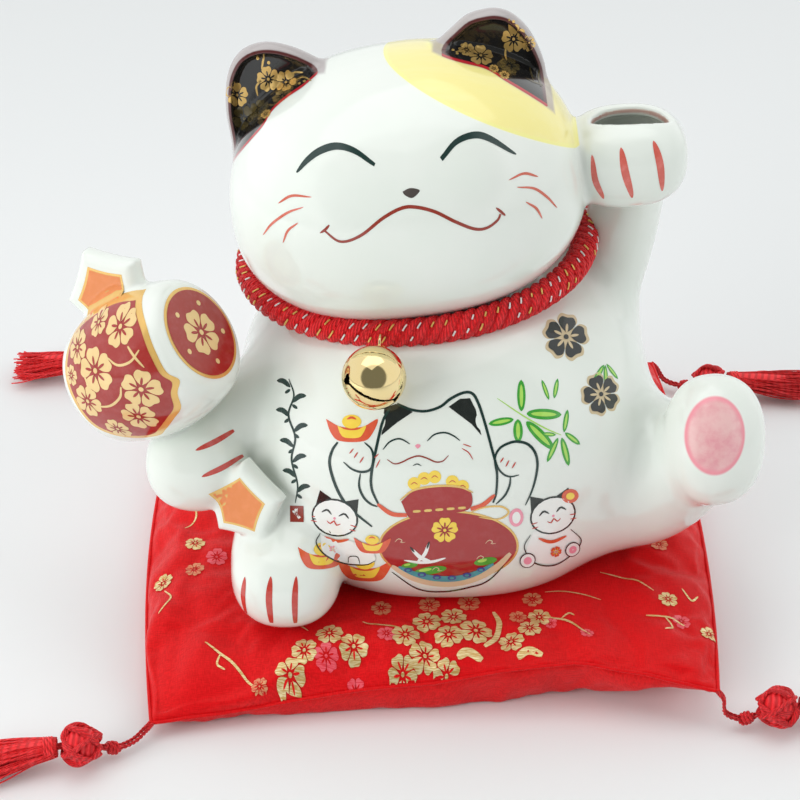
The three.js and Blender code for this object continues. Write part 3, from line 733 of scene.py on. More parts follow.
def tassel_skirt(name, neck, way, random):
    """Fine threads that spread from the neck and lie on the table, a few of them astray."""
    side = unit(np.cross(way, UP))
    count = 200
    t = np.linspace(0, 1, 15)
    turn = random.uniform(0, 2 * np.pi, count)
    out = np.sqrt(random.uniform(0, 1, count))
    stray = random.uniform(0, 1, count) < 0.07
    reach = SKIRT_LENGTH * random.uniform(0.86, 1.03, count)
    wave = random.uniform(0.5, 1.3, (count, 2)) * random.choice((-1, 1), (count, 2))
    phase = random.uniform(0, 2 * np.pi, (count, 2))
    flare = np.where(stray, 0.35, 0.0)[:, None]
    across = out * np.cos(turn)
    over = out * np.sin(turn)
    x = across[:, None] * (3.4 + 6.0 * t**0.75) * (1 + flare * t)
    lowest, highest = 0.75, 10.2
    left = (1 - t) ** 1.3
    resting = (lowest + (highest - lowest) * (0.5 + 0.5 * over))[:, None]
    z = (neck[2] + 3.4 * over)[:, None] * left + (1 - left) * resting
    bend = 0.9 * t * np.where(stray, 2.6, 1.0)[:, None]
    turns = 2 * np.pi * t
    x = x + bend * (np.sin(turns * wave[:, :1] + phase[:, :1]) - np.sin(phase[:, :1]))
    z = z + 0.6 * bend * (np.sin(turns * wave[:, 1:] + phase[:, 1:]) - np.sin(phase[:, 1:]))
    z = np.maximum(z, lowest)
    lines = neck[:2] + reach[:, None, None] * t[None, :, None] * way[:2] + x[:, :, None] * side[:2]
    lines = np.concatenate([lines, z[:, :, None]], 2)
    t = np.linspace(0, 1, 90)[:, None]
    wrap = tubes([coil(neck + (1.0 + 3.6 * t) * way, side, 3.5, 4)], 0.5, 7)
    t = np.linspace(0, 1, 8)[:, None]
    core = tubes([neck + 26 * t * way - 2.6 * t**1.4 * UP], 3.2 + 0.4 * t[:, 0], 12)
    return tassel_piece(name, "skirt", threads, "red_threads", tubes(lines, 0.3, 5), wrap, core)


def make_tassel(name, route, ball, way, random):
    """A tassel from its corner of the cushion: cord, keeper knot, ball knot and skirt."""
    centre = np.array((*ball, BALL_R + TASSEL_Z))
    way = unit(way)
    arriving = unit(route[-1] - centre)
    keeper_at = centre + (BALL_R + KEEPER_R + 0.3) * arriving
    neck = centre + (BALL_R - 0.4) * way
    corner = CORNERS[name]
    path = spline([corner, *route[:-1], keeper_at, centre, neck + 6 * way], 90)
    side = unit(np.cross(keeper_at - corner, UP))
    cord = tassel_cord(name, path, side)
    keeper = tassel_keeper(name, keeper_at, -arriving, side)
    knot = tassel_ball(name, centre, way, random)
    skirt = tassel_skirt(name, neck, way, random)
    tuple(MM * c for c in corner)


for seed, (tassel_name, tassel) in enumerate(TASSELS.items()):
    make_tassel(tassel_name, **tassel, random=np.random.default_rng(100 + seed))


# ------------------------------------------------------------------ the glazed cat
# White, with the patch, the sole, the ears and painted shade in the paw's mouth laid on by stored distances
# in millimetres.
glaze = Look("white_glaze", (0.90, 0.915, 0.895), 0.13, Coat_Weight=0.6, Coat_Roughness=0.03)
patch = glaze.attribute("patch")
white = glaze.mix(glaze.band(glaze.noise(28, 4), 0.35, 0.7), (0.81, 0.86, 0.80), (0.84, 0.875, 0.825))
uneven_patch = glaze.math("ADD", patch, glaze.math("MULTIPLY", glaze.noise(60, 4), 6.0))
depth = glaze.band(uneven_patch, -26.0, 0.0)
yellow = glaze.mix(depth, (0.95, 0.62, 0.22), (0.96, 0.76, 0.30))
streaks = glaze.noise(1, 5, 0.6, glaze.stretched(30, 160, 120))
yellow = glaze.mix(glaze.band(streaks, 0.42, 0.7, 0.0, 0.55), yellow, (0.96, 0.83, 0.52))
yellow = glaze.mix(glaze.band(patch, -1.7, -0.9), yellow, (0.95, 0.90, 0.32))
color = glaze.mix(glaze.band(patch, 0.25, -0.25), white, yellow)
pad = glaze.attribute("pad")
pink = glaze.mix(glaze.band(glaze.noise(90, 5, 0.65), 0.35, 0.65), (0.82, 0.36, 0.40), (0.88, 0.55, 0.54))
pink = glaze.mix(glaze.band(pad, -2.2, -0.6), pink, (0.88, 0.30, 0.36))
color = glaze.mix(glaze.band(pad, 0.35, -0.5), color, pink)
in_ear = glaze.attribute("ear")
ear_rim = glaze.band(glaze.attribute("rim"), 1.2, -0.4)
color = glaze.mix(glaze.math("MULTIPLY", ear_rim, 0.8), color, (0.36, 0.30, 0.31))
color = glaze.mix(glaze.band(in_ear, 0.5, 0.1), color, (0.10, 0.02, 0.02))
color = glaze.mix(glaze.band(in_ear, -0.5, -1.0), color, (0.012, 0.011, 0.011))
near_foot = glaze.band(glaze.attribute("base"), 0.9, 0.6)
at_foot = glaze.math("MULTIPLY", near_foot, glaze.band(in_ear, 0.5, 0.1))
color = glaze.mix(at_foot, color, (0.50, 0.02, 0.03))
# Painted shade inside the paw's mouth: brown near its edge, blue-grey deeper in.
mouth = glaze.attribute("mouth")
color = glaze.mix(glaze.band(mouth, 0.1, -0.3), color, (0.50, 0.22, 0.17))
color = glaze.mix(glaze.band(mouth, -0.6, -2.2), color, (0.45, 0.52, 0.57))
glaze.set("Base Color", color)
fine_bump = glaze.bump(glaze.noise(420, 2), 0.00002, 0.3)
glaze.set("Normal", glaze.bump(glaze.noise(9, 2), 0.0012, 0.25, fine_bump))

CAT_BOX = ((-137, -100, 20), (126, 92, 232))
skin, quads = surface(ceramic, *CAT_BOX, 1.05)
cat = mesh_object("cat_glazed_ceramic", skin, quads, [glaze], "cat")
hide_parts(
    "body", "head", "ear_left", "ear_right", "raised_arm", "raised_paw", "mallet_barrel", "mallet_paw",
    "mallet_arm", "mallet_knob_top", "mallet_knob_bottom", "standing_foot", "standing_leg", "stretched_foot",
    "stretched_leg", "tail",
)
cat_tree = BVHTree.FromPolygons([Vector(v) for v in skin], quads.tolist())


def store(name, values):
    """Keeps a value at each vertex of the cat, for its glaze."""
    layer = cat.data.attributes.new(name, "FLOAT", "POINT")
    layer.data.foreach_set("value", np.asarray(values, np.float32))


def above_line(p, points):
    """How far points lie upward in the picture from a line drawn from left to right."""
    line = spline(points, 60)
    return p @ PICTURE_UP - np.interp(p[:, 0], line[:, 0], line[:, 1])


FAR_OFF = 9.0
inside_ears, rims, bases = [], [], []
for ear in EARS.values():
    across = flat_distance(skin[:, [0, 2]], ear["outline"]) + EAR_ROUNDING
    above_foot = 0.8 * above_line(skin, ear["foot"])
    here = (across < 4) & (skin[:, 2] > 170)
    front = skin[:, 1] - EAR_MIDDLE_Y
    dish = np.maximum(np.maximum(across + 1.5, 0.9 * front), -above_foot)
    rim = np.maximum(np.maximum(-above_foot, front - 3), 1.5 * (across - 0.9))
    inside_ears.append(np.where(here, dish, FAR_OFF))
    rims.append(np.where(here, rim, FAR_OFF))
    bases.append(np.where(here, above_foot, FAR_OFF))
store("ear", np.minimum(*inside_ears))
store("rim", np.minimum(*rims))
store("base", np.minimum(*bases))
PATCH_AT, PATCH_R = (21.6, 4.1, 208.2), 40.85
from_patch = np.linalg.norm(skin - PATCH_AT, axis=1) - PATCH_R
on_head = blob(skin, **HEAD) - 1.2
store("patch", np.where(skin[:, 2] > 180, np.maximum(from_patch, on_head), 30.0))
SOLE_AT, SOLE_UP, SOLE_RADII = (99, -70, 100), (0, 0.525, 0.851), (10.8, 14.2)
foot = skin - SOLE_AT
sole = np.hypot(foot[:, 0] / SOLE_RADII[0], foot @ SOLE_UP / SOLE_RADII[1])
store("pad", np.where((np.abs(foot).max(1) < 22) & (foot[:, 1] < 14), (sole - 1) * 12, 20.0))
# How far into the paw's mouth each vertex lies, for the painted shade there.
from_mouth = np.hypot(*((skin[:, :2] - MOUTH_AT) / MOUTH_RADII).T) * 10 - 10.2
store("mouth", np.where(paw_hollow(skin) < 0.4, from_mouth, 3.0))


def painted(name, color, roughness=0.12, metallic=0.0, vary=0.25):
    """An overglaze colour, uneven as a decal or a brush leaves it."""
    look = Look(name, color, roughness, Metallic=metallic, Coat_Weight=0.5, Coat_Roughness=0.04)
    pale = tuple(min(1.0, c + vary * (0.35 + 0.4 * c)) for c in color)
    look.set("Base Color", look.mix(look.band(look.noise(240, 4, 0.6), 0.4, 0.75, 0.0, 0.6), color, pale))
    return look


black = painted("black", (0.012, 0.016, 0.014), vary=0.04)
dark_green = painted("dark_green", (0.01, 0.035, 0.03), vary=0.05)
mouth_red = painted("mouth_red", (0.30, 0.035, 0.02), vary=0.1)
whisker_red = painted("whisker_red", (0.62, 0.12, 0.07), vary=0.35)
red = painted("red", (0.55, 0.05, 0.035), vary=0.2)
claw_pink = painted("claw_pink", (0.66, 0.12, 0.09), vary=0.4)
nose_grey = painted("nose_grey", (0.07, 0.055, 0.05), vary=0.1)
gilt = painted("gilt", (0.80, 0.52, 0.16), 0.22, 0.6, 0.15)
dim_gilt = painted("dim_gilt", (0.10, 0.075, 0.025), 0.2, 0.3, 0.05)
head_turn = rotation(HEAD["turn"])

face = Drawing("face", HEAD["at"], head_turn[:, 0], head_turn[:, 2], cat_tree)
left_eye = [(-33.3, 27.2), (-29, 30.6), (-24, 33.1), (-18, 34.2), (-12, 32.8), (-6, 29)]
right_eye = [(16.3, 27.6), (22, 30.9), (28.5, 31), (34, 28.2), (41.2, 22)]
face.line(dark_green, left_eye, 1.7, ends=(0.2, 0.55))
face.line(dark_green, right_eye, 1.6, ends=(0.85, 0.15))
face.area(nose_grey, [(2.1, 20.6), (4.8, 21.3), (7.7, 20.4), (7.2, 19.4), (4.9, 18.3), (2.7, 19.5)])
smile = [
    (-26.3, 10.2), (-21.5, 6.4), (-14.5, 8), (-6, 13.1), (0.8, 15.6), (5.8, 15.3),
    (12, 12.7), (18.3, 8), (24.2, 4), (28.3, 3.2), (32, 4.6), (33.4, 6.4),
]
face.line(mouth_red, smile, 1.15, ends=(0.6, 0.6))
for dimple in ([(-28, 9.4), (-26, 10.6), (-24.3, 12.2)], [(32.2, 9), (33.6, 7.2), (34.9, 5.3)]):
    face.line(mouth_red, dimple, 0.9, ends=(0.3, 0.4))
for whisker in (
    [(-41.4, 17.6), (-36, 20.6), (-29, 20.8)],
    [(-49.2, 5.4), (-45, 10.4), (-38.5, 15.2), (-32.4, 17.6)],
    [(-42.1, 4.4), (-39.4, 9.2), (-35.2, 12.4)],
    [(37.6, 16), (43, 15.8), (47.6, 12.6)],
    [(40, 12.9), (45.6, 9.9), (49.6, 4.8), (52.6, -1.2)],
    [(42.3, 7), (45.5, 3.1), (47.1, -1.6)],
):
    face.line(whisker_red, whisker, 0.75, ends=(0.15, 0.15))
face.finish("cat")

# The claws of each paw: its strokes with their widths.
for name, at, up, look, claws in (
    ("claws", (0, 0, 0), Z, red, (
        ([(-69, 51), (-70, 43), (-69.4, 34)], 1.8, (0.1, 0.5)),
        ([(-59.4, 54), (-60.2, 46), (-59.8, 34)], 2.4, (0.1, 0.5)),
        ([(-50.3, 54), (-50.9, 46), (-51.1, 34)], 2.2, (0.1, 0.5)),
    )),
    ("raised_claws", RAISED_PAW["at"], PICTURE_UP, claw_pink, (
        ([(-13.8, -2), (-12.3, -10.5), (-8.8, -16.6)], 2.0, (0.05, 0.1)),
        ([(-4, 0.2), (-2.2, -8.3), (1.1, -16.4)], 2.7, (0.05, 0.15)),
        ([(7.4, 2.6), (9.9, -5.4), (11.6, -14)], 2.7, (0.05, 0.15)),
    )),
    ("grip_claws", MALLET_PAW["at"], PICTURE_UP, red, (
        ([(1.5, 4.7), (8.2, 7.8), (14.6, 11.8)], 2.0, (0.05, 0.5)),
        ([(3.6, -4.8), (10.8, -1.6), (17.7, 2.6)], 2.0, (0.05, 0.5)),
    )),
):
    paw = Drawing(name, at, X, up, cat_tree)
    for points, width, ends in claws:
        paw.line(look, points, width, ends=ends)
    paw.finish("cat")

ears = Drawing("ear_pattern", (0, 0, 0), X, PICTURE_UP, cat_tree)
for look, blossoms, twigs in (
    (gilt, (
        (-60, 168.4, 4.2, 100), (-53.6, 167.2, 4.2, 64), (-71.4, 163.3, 4.0, 20), (-60.2, 154.6, 2.0, 40),
        (15.3, 174.6, 4.6, 90), (10.4, 177, 3.0, 40), (27, 181, 4.3, 20), (32.4, 179.4, 2.4, 60),
        (23.2, 166.6, 1.9, 20), (19.6, 169, 1.8, 50),
    ), (
        [(-61, 176), (-61.6, 174), (-62.2, 171.6)], [(-64, 163), (-64.4, 166), (-62.6, 168)],
        [(-44, 165.6), (-47, 168), (-50.4, 167.4)], [(-52, 170), (-50, 170.6), (-47.4, 170.2)],
        [(25, 187), (25.4, 184.4), (26.4, 182)], [(24.4, 178.6), (24.2, 176), (24.6, 173.6)],
        [(6.4, 175.6), (8.6, 176.4), (11, 175)],
    )),
    (dim_gilt, ((-63.4, 157.8, 4.0, 10), (-69.2, 155.6, 4.4, 60), (25.4, 171.2, 3.9, 70)), (
        [(33, 172), (33.4, 169), (33.8, 166)], [(36.4, 171), (36, 168), (36.6, 164)],
        [(31, 166.6), (34, 165.4), (37.4, 165)],
    )),
):
    for x, w, r, turn in blossoms:
        ears.blossom(look, black, (x, w), r, turn)
    for twig in twigs:
        ears.line(look, twig, 0.7, ends=(0.4, 0.6))
for x, w in ((-63.4, 175), (-59.6, 173.6), (-46.6, 166), (-48.4, 165.4), (7, 175), (5.6, 176.6), (26.6, 186)):
    ears.disc(gilt, (x, w), 0.55)
ears.finish("cat", lambda hit: hit.y > -20 and hit.z > 182)

# ------------------------------------------------------------------ the picture on the belly
# A made-up scene in the usual taste: a smiling cat behind a red bag, ingots, two kittens and bamboo.
green = painted("green", (0.05, 0.36, 0.04), vary=0.2)
lime = painted("lime", (0.42, 0.72, 0.12), vary=0.2)
teal = painted("teal", (0.04, 0.30, 0.36), vary=0.1)
deep_blue = painted("deep_blue", (0.03, 0.06, 0.30), vary=0.1)
bag_red = painted("bag_red", (0.38, 0.018, 0.018), vary=0.08)
bright_red = painted("bright_red", (0.72, 0.10, 0.04), vary=0.12)
sun_yellow = painted("sun_yellow", (0.92, 0.66, 0.07), vary=0.1)
pink_paint = painted("pink_paint", (0.88, 0.32, 0.42), vary=0.1)
white_paint = painted("white_paint", (0.9, 0.9, 0.87), vary=0.02)
sand = painted("sand", (0.72, 0.52, 0.34), vary=0.1)
grey_gold = painted("grey_gold", (0.62, 0.50, 0.30), vary=0.1)

belly = Drawing("belly", BODY["at"], X, PICTURE_UP, cat_tree)


def shifted(points, at, scale=1.0):
    """A small shape's points made bigger and moved to its place."""
    return [(at[0] + scale * x, at[1] + scale * y) for x, y in points]


def leaf(base, tip, width):
    """A bamboo leaf with a paler middle."""
    belly.line(green, [base, tip], width, 0, ends=(0.12, 0.05))
    base, way = np.array(base), np.subtract(tip, base)
    belly.line(lime, [base + 0.12 * way, base + 0.85 * way], 0.42 * width, 1, ends=(0.1, 0.1))


def ingot(at, size, layer=1):
    """A boat-shaped ingot with a round top."""
    boat = [
        (-1, 0.35), (-0.8, -0.2), (-0.45, -0.5), (0.45, -0.5),
        (0.8, -0.2), (1, 0.35), (0.4, 0.05), (-0.4, 0.05),
    ]
    belly.area(bright_red, shifted([(1.12 * x, 1.12 * w) for x, w in boat], at, size), layer)
    belly.area(sun_yellow, shifted([(0.62 * x, 0.62 * w - 0.1) for x, w in boat], at, size), layer + 1)
    belly.disc(sun_yellow, (at[0], at[1] + 0.28 * size), (0.42 * size, 0.3 * size), layer + 1)
    belly.line(bright_red, shifted([(-0.2, 0.38), (0, 0.46), (0.2, 0.38)], at, size), 0.1 * size, layer + 2)


def kitten(at, r, tilt):
    """A kitten's head with closed eyes, dark ears and a smile."""
    c, s = math.cos(math.radians(tilt)), math.sin(math.radians(tilt))

    def turned(*points):
        return [(at[0] + r * (c * x - s * y), at[1] + r * (s * x + c * y)) for x, y in points]

    for sign in (-1, 1):
        pointed = turned((0.92 * sign, 0.35), (0.85 * sign, 1.05), (0.3 * sign, 0.82))
        belly.area(black, pointed, 1, smooth=False)
        belly.line(black, turned((0.6 * sign, 0.12), (0.38 * sign, 0.28), (0.16 * sign, 0.12)), 0.09 * r, 3)
        for k in (-0.15, -0.35):
            belly.line(red, turned((0.72 * sign, k), (1.0 * sign, k - 0.02)), 0.05 * r, 3)
    belly.disc(black, at, (1.02 * r, 0.84 * r), 1, tilt)
    belly.disc(white_paint, at, (0.95 * r, 0.77 * r), 2, tilt)
    belly.disc(pink_paint, turned((0, -0.02))[0], 0.06 * r, 3)
    belly.line(red, turned((-0.3, -0.2), (-0.14, -0.3), (0, -0.14), (0.14, -0.3), (0.3, -0.2)), 0.07 * r, 3)


# The big cat: outline, ears, face and arms. Each stroke has its points, width and how thin its ends are.
BRUSH = (0.35, 0.35)
for points, width, ends in (
    ([(-18, 0), (-13, -2), (-8, -2.5), (-3, -1), (1, 2), (5.5, 4), (8.5, 3.5), (10.5, 0), (12.5, -6),
      (15, -15), (17, -23), (17, -31), (16, -35)], 1.0, (0.9, 0.6)),
    ([(-20.5, -1.5), (-23, -6), (-25, -14), (-27, -24), (-27, -30), (-24.5, -36)], 1.0, (0.8, 0.6)),
    ([(-23, -16), (-20.5, -13.2), (-17, -12.2), (-13.5, -14)], 0.6, BRUSH),
    ([(-7.5, -13), (-5, -10.7), (-1.5, -10), (1.5, -11), (4, -12.8)], 0.6, BRUSH),
    ([(-12.5, -21.7), (-11, -21), (-9.5, -21.7)], 0.4, BRUSH),
    ([(-39, -13.5), (-41, -16.5), (-42, -21), (-40.5, -27.5), (-37.5, -34), (-33, -39),
      (-27, -44)], 1.1, (0.6, 0.5)),
    ([(-29.5, -13.5), (-27, -16), (-26.4, -19.5), (-27.4, -23), (-30.5, -24), (-34, -23),
      (-37, -20.5)], 0.9, BRUSH),
    ([(-31, -24.5), (-31.5, -29), (-30, -33), (-27.5, -35.5), (-25, -36.5)], 0.9, BRUSH),
    ([(16.8, -24), (16.3, -19), (18, -15.5), (21.5, -13.6), (24.5, -13.2), (28, -14.2), (30.5, -17),
      (31.5, -21), (31, -26), (29.7, -31), (27.6, -36)], 1.0, BRUSH),
    ([(16.5, -19.5), (17.5, -22.5), (19.5, -24.8), (22, -25.6), (25, -25)], 0.7, BRUSH),
    ([(22, -25.5), (21.6, -29), (20, -32.5), (17, -35.5)], 0.8, BRUSH),
):
    belly.line(dark_green, points, width, 1, ends=ends)
for inner_ear in (
    [(-22.5, -1.5), (-18.5, 0), (-12.5, -2.8), (-18, -6.5), (-23.5, -11)],
    [(0, -1), (4, 1.8), (7.5, 2), (9.5, -2), (11.5, -11), (8, -7), (4, -4)],
):
    belly.area(black, inner_ear, 1, smooth=False)
belly.area(pink_paint, [(-11.8, -14.6), (-10.8, -14), (-9.8, -14.6), (-10.8, -15.6)], 1)
mouth = [
    (-21.5, -19.5), (-19, -21), (-16.5, -20.5), (-13.5, -19), (-10.5, -18.2),
    (-7.5, -19), (-4.5, -20.3), (-2, -20), (0, -18),
]
belly.line(mouth_red, mouth, 0.55, 1)
for width, strokes in (
    (0.4, ([(5, -14), (8, -15)], [(4.6, -15.5), (7, -17), (8.6, -19.5)], [(-24.5, -17.5), (-26, -19)],
           [(-24, -19.5), (-25.5, -22.5)])),
    (0.5, ([(-33.4, -15.7), (-34.8, -17.5)], [(-31.9, -17), (-33.2, -19)], [(-29.8, -18.6), (-31.2, -20.8)],
           [(19.4, -18.8), (18.2, -20.5)], [(21.3, -19.8), (20.2, -22)], [(23.7, -20.4), (22.4, -22.6)])),
):
    for points in strokes:
        belly.line(red, points, width, 1)

# The bag with its tied neck, ribbon, coins, blossom, crane, waves and hills.
belly.disc(gilt, (0.5, -51.5), (25.4, 13.8), 1)
belly.disc(bag_red, (0.5, -51.5), (24.6, 13), 2)
neck = [
    (-16.6, -34.5), (-11.7, -30.5), (-3.5, -29), (4, -29.5),
    (8.2, -31.5), (7, -37.5), (-5.5, -39.5), (-13, -41),
]
belly.area(bag_red, neck, 2)
belly.line(gilt, [(-17, -34), (-12, -30.3), (-3.5, -28.8), (4, -29.2), (8.8, -31.2)], 0.8, 3)
for x in (-12.4, -8.4, -4.4, -0.4, 3.6):
    w = -38.1 + 0.08 * (x + 12)
    belly.line(gilt, [(x, w), (x + 2.7, w + 0.2)], 1.0, 3, ends=(0.6, 0.6))
for x, w in ((-12, -28), (-4.8, -25.6), (1.4, -27.3), (-8.5, -26.2), (5, -29)):
    belly.disc(sun_yellow, (x, w), 2.3, 1)
    belly.line(red, [(x - 1.2, w - 0.4), (x, w + 0.4), (x + 1.2, w - 0.3)], 0.35, 2)
belly.blossom(sun_yellow, bag_red, (-1, -45), 4.8, 18, 3)
for look, points, width, layer, ends in (
    (gilt, [(8, -38.4), (13, -36.6), (19, -36.4), (21.6, -38.6), (18, -41), (11, -40.2)], 0.7, 3, BRUSH),
    (bright_red, [(-25, -35.5), (-20, -39), (-14.5, -39.5)], 1.6, 3, (0.5, 0.8)),
    (bright_red, [(8, -37.2), (12.5, -35.6), (16.5, -32)], 1.6, 3, (0.8, 0.4)),
    (white_paint, [(-13, -52), (-9.5, -55.5), (-6, -57)], 1.5, 3, (0.2, 0.5)),
    (white_paint, [(-6.5, -49.5), (-8, -54), (-10.5, -57)], 1.3, 3, (0.2, 0.5)),
    (white_paint, [(-15.5, -56.6), (-10, -57.4), (-5, -57), (-0.5, -55.6)], 1.1, 3, (0.2, 0.3)),
    (black, [(-13.3, -51.4), (-11.8, -53.4)], 0.7, 4, BRUSH),
    (black, [(-6.5, -49.3), (-7.3, -52)], 0.7, 4, BRUSH),
):
    belly.line(look, points, width, layer, ends=ends)
for at in ((-17, -49), (12.5, -55.5), (15.5, -49.5), (-3.5, -60)):
    belly.line(sand, shifted([(-1.8, -0.6), (-0.6, 0.7), (0.8, 0.1), (0.2, -0.7), (1.9, -0.6)], at), 0.35, 3)
shore = [(-20, -59), (-13, -63.3), (-5, -65.6), (3, -65.8), (11, -63.6), (18, -59.5), (23, -54)]
sea = [(-17.5, -59.2), (-11, -62.2), (-4, -63.8), (4, -63.8), (11, -61.6), (17, -58)]
belly.line(sand, shore, 3.0, 3, ends=(0.4, 0.4))
belly.line(teal, sea, 2.4, 4, ends=(0.3, 0.3))
for x, w, r in (
    (-14, -60.4, 1.5), (-9, -62.2, 1.6), (-3.5, -63.3, 1.6),
    (2, -63.5, 1.6), (7.5, -62.4, 1.6), (12.5, -60.2, 1.5),
):
    belly.disc(deep_blue, (x, w), (r, 0.6 * r), 5)
    belly.disc(teal, (x, w - 0.1), (0.5 * r, 0.3 * r), 6)
for x, w, a, b in ((-6, -60.6, 6, 1.6), (14, -57, 4.2, 1.5), (-13.5, -58.6, 3, 1.1)):
    belly.disc(green, (x, w), (a, b), 3, 10)
    belly.disc(lime, (x - 0.3 * a, w + 0.3), (0.4 * a, 0.4 * b), 4, 10)
under_bag = [(-20, -61.5), (-10.5, -68.5), (-1.5, -69.8), (8, -68), (16, -64.5), (25, -53)]
belly.line(dark_green, under_bag, 0.7, 1)

# Ingots, and a kitten at each side with its body, collar and paws.
for at, size in (((-34, -8.5), 8.2), ((-45, -55), 8.0), ((-30, -60.5), 9.0)):
    ingot(at, size)
ingot((-27, -50.5), 6.0, layer=5)
kitten((-40.5, -41), 8.4, -12)
kitten((38, -40), 8.4, 12)
lying = [
    (-46, -47.5), (-40, -49.5), (-35, -49.5), (-27.5, -53), (-26, -57), (-30, -58.5), (-38, -58), (-45, -54),
]
belly.area(white_paint, lying, 4)
belly.area(white_paint, [(31, -46), (44, -45), (49, -52), (43, -58), (33, -58), (29, -53)], 0)
belly.blossom(pink_paint, sun_yellow, (-41.5, -53), 1.5, 0, 5)
belly.blossom(bright_red, sun_yellow, (40, -54), 2.2, 0, 4)
for look, points, width, layer in (
    (black, [(-46, -47), (-47.5, -50.5), (-44.5, -54.8), (-38, -58.3), (-30, -58.8), (-26, -57)], 0.5, 5),
    (black, [(-36, -58.2), (-35.5, -55.8), (-32.5, -55.6), (-31.6, -58.4)], 0.4, 5),
    (bright_red, [(-44.5, -48.3), (-40, -49.8), (-35.5, -49)], 1.2, 5),
    (black, [(30, -47), (28, -52), (32, -58), (40, -59.5), (47, -55), (49.5, -50), (45, -45.5)], 0.5, 4),
    (bright_red, [(33, -48.5), (38, -50), (43.5, -48)], 1.3, 4),
):
    belly.line(look, points, width, layer)
for look, at, radii, layer in (
    (black, (29.5, -57), 3.0, 5), (white_paint, (29.5, -57), 2.6, 6), (pink_paint, (29.5, -57), 1.5, 7),
    (black, (46.5, -53.5), 3.0, 5), (white_paint, (46.5, -53.5), 2.6, 6), (pink_paint, (46.5, -53.5), 1.5, 7),
    (pink_paint, (24.5, -40.5), (2.6, 3.4), 2), (white_paint, (24.5, -40.5), (1.5, 2.2), 3),
    (bright_red, (44, -33), (3.2, 2.6), 2), (sun_yellow, (44, -33), (1.6, 1.3), 3),
):
    belly.disc(look, at, radii, layer)
for base, tip, width in (
    ((25.6, -2.5), (25.6, 8.5), 3.0), ((27.5, -3.4), (40, -3.8), 3.8), ((22.8, -5.4), (14, -7), 2.7),
    ((24.3, -5.4), (24.5, -13.5), 3.4), ((27.4, -6.2), (37.3, -16), 3.8), ((41, -10), (42.3, -2), 1.9),
    ((41.4, -10.2), (47, -14.4), 2.1), ((40.2, -12), (43, -22), 2.5), ((38.8, -12), (35, -20.5), 2.0),
    ((38, -10.9), (33, -10.5), 1.5), ((35.5, 1.5), (33, 8.5), 1.5), ((37.4, 2), (38.8, 9), 1.7),
    ((56.5, 14), (51.8, 7), 1.9), ((57, 14), (57.2, 5), 1.7), ((57.6, 14.4), (62, 9), 1.5),
):
    leaf(base, tip, width)
belly.line(lime, [(17, 2), (26, -4), (34, -8.5), (40, -11)], 0.5, 0)

# A vine down the left and two dark blossoms at the right stand where the original has writing.
vine = [(-57, 9), (-55, 3), (-57, -4), (-54.5, -12), (-56, -20), (-54, -29), (-55, -36)]
belly.line(dark_green, vine, 0.8, 0)
for x, w, way in (
    (-56.4, 6, -1), (-55.6, 0.5, 1), (-56.6, -4.5, -1), (-55, -10, 1),
    (-55.2, -15.5, -1), (-55.6, -21, 1), (-54.4, -26.5, -1), (-54.4, -32, 1),
):
    long_leaf = [(x, w), (x + 2.6 * way, w + 2.2), (x + 5.2 * way, w + 2.4)]
    belly.line(dark_green, long_leaf, 1.9, 0, ends=(0.2, 0.1))
    belly.line(dark_green, [(x, w - 0.8), (x + 2.0 * way, w - 2.2)], 1.2, 0, ends=(0.2, 0.1))
belly.area(mouth_red, [(-57, -37), (-52, -37), (-52, -43), (-57, -43)], 0, smooth=False)
belly.blossom(white_paint, mouth_red, (-54.5, -40), 2.0, 20, 1)
for x, y, r, turn in ((42.5, 24, 9.0, 10), (55, 3.5, 8.0, 40)):
    belly.blossom(grey_gold, grey_gold, (x, y), r, turn, 0)
    belly.disc(grey_gold, (x, y), 0.5 * r, 0)
    belly.blossom(black, grey_gold, (x, y), 0.86 * r, turn, 2)
belly.finish("cat")

# The mallet: a red panel with blossoms on its side, a red disc on its end, an orange inset in each rosette.
panel_red = painted("panel_red", (0.36, 0.025, 0.02), vary=0.12)
cream = painted("cream", (0.84, 0.60, 0.27), 0.15, 0.15, 0.1)
gilt_edge = painted("gilt_edge", (0.84, 0.52, 0.15), 0.15, 0.3, 0.1)
orange = painted("orange", (0.78, 0.24, 0.06), vary=0.12)
panel = Drawing("mallet_panel", MALLET_AT, MALLET_FACE, -MALLET_DOWN, cat_tree)
border = np.array([
    (18.5, 22.6), (21.3, 12.9), (21.8, 3), (21.4, -5), (22.5, -9.5), (19, -13),
    (15, -18), (9.3, -20.3), (2, -22.5), (-4.5, -23.3), (-13.3, -18.5), (-19.5, -10.4),
    (-20, 0.4), (-19, 12.7), (-13, 22.8), (0, 25.4), (10, 25),
])
panel.area(gilt_edge, 1.02 * border, 1, spacing=1.3)
panel.area(panel_red, (0.93, 0.945) * border, 3, spacing=1.3)
for x, w, r, turn in (
    (12.5, 16, 6.4, 10), (11, -6, 7.2, 50), (-2, 7, 7.8, 80), (-12.5, -1, 6.2, 30), (2, -14, 6.0, 0),
    (-10.5, -14.5, 4.6, 70), (-9, 17, 5.4, 40), (2.5, 21, 4.2, 20), (-15.5, 9.5, 3.6, 60),
):
    panel.blossom(cream, panel_red, (x, w), r, turn, 5)
for twig in (
    [(17.5, 6), (13, 4), (8, 5), (5, 9)], [(5, -2), (2, -5), (-4, -6), (-10, -4)],
    [(-6, 1), (-8, 4), (-8, 10)], [(14, 9), (15, 5), (16.5, 0)],
):
    panel.line(cream, twig, 0.9, 5, ends=(0.5, 0.3))
panel.finish("cat")
END_MIDDLE = (0.6, 0.6)
end = Drawing("mallet_end", MALLET_AT, -MALLET_FRONT, -MALLET_DOWN, cat_tree)
end.disc(gilt_edge, END_MIDDLE, 17.4, 1)
end.disc(panel_red, END_MIDDLE, 16.2, 3)
end.blossom(cream, panel_red, END_MIDDLE, 8.6, 18, 5)
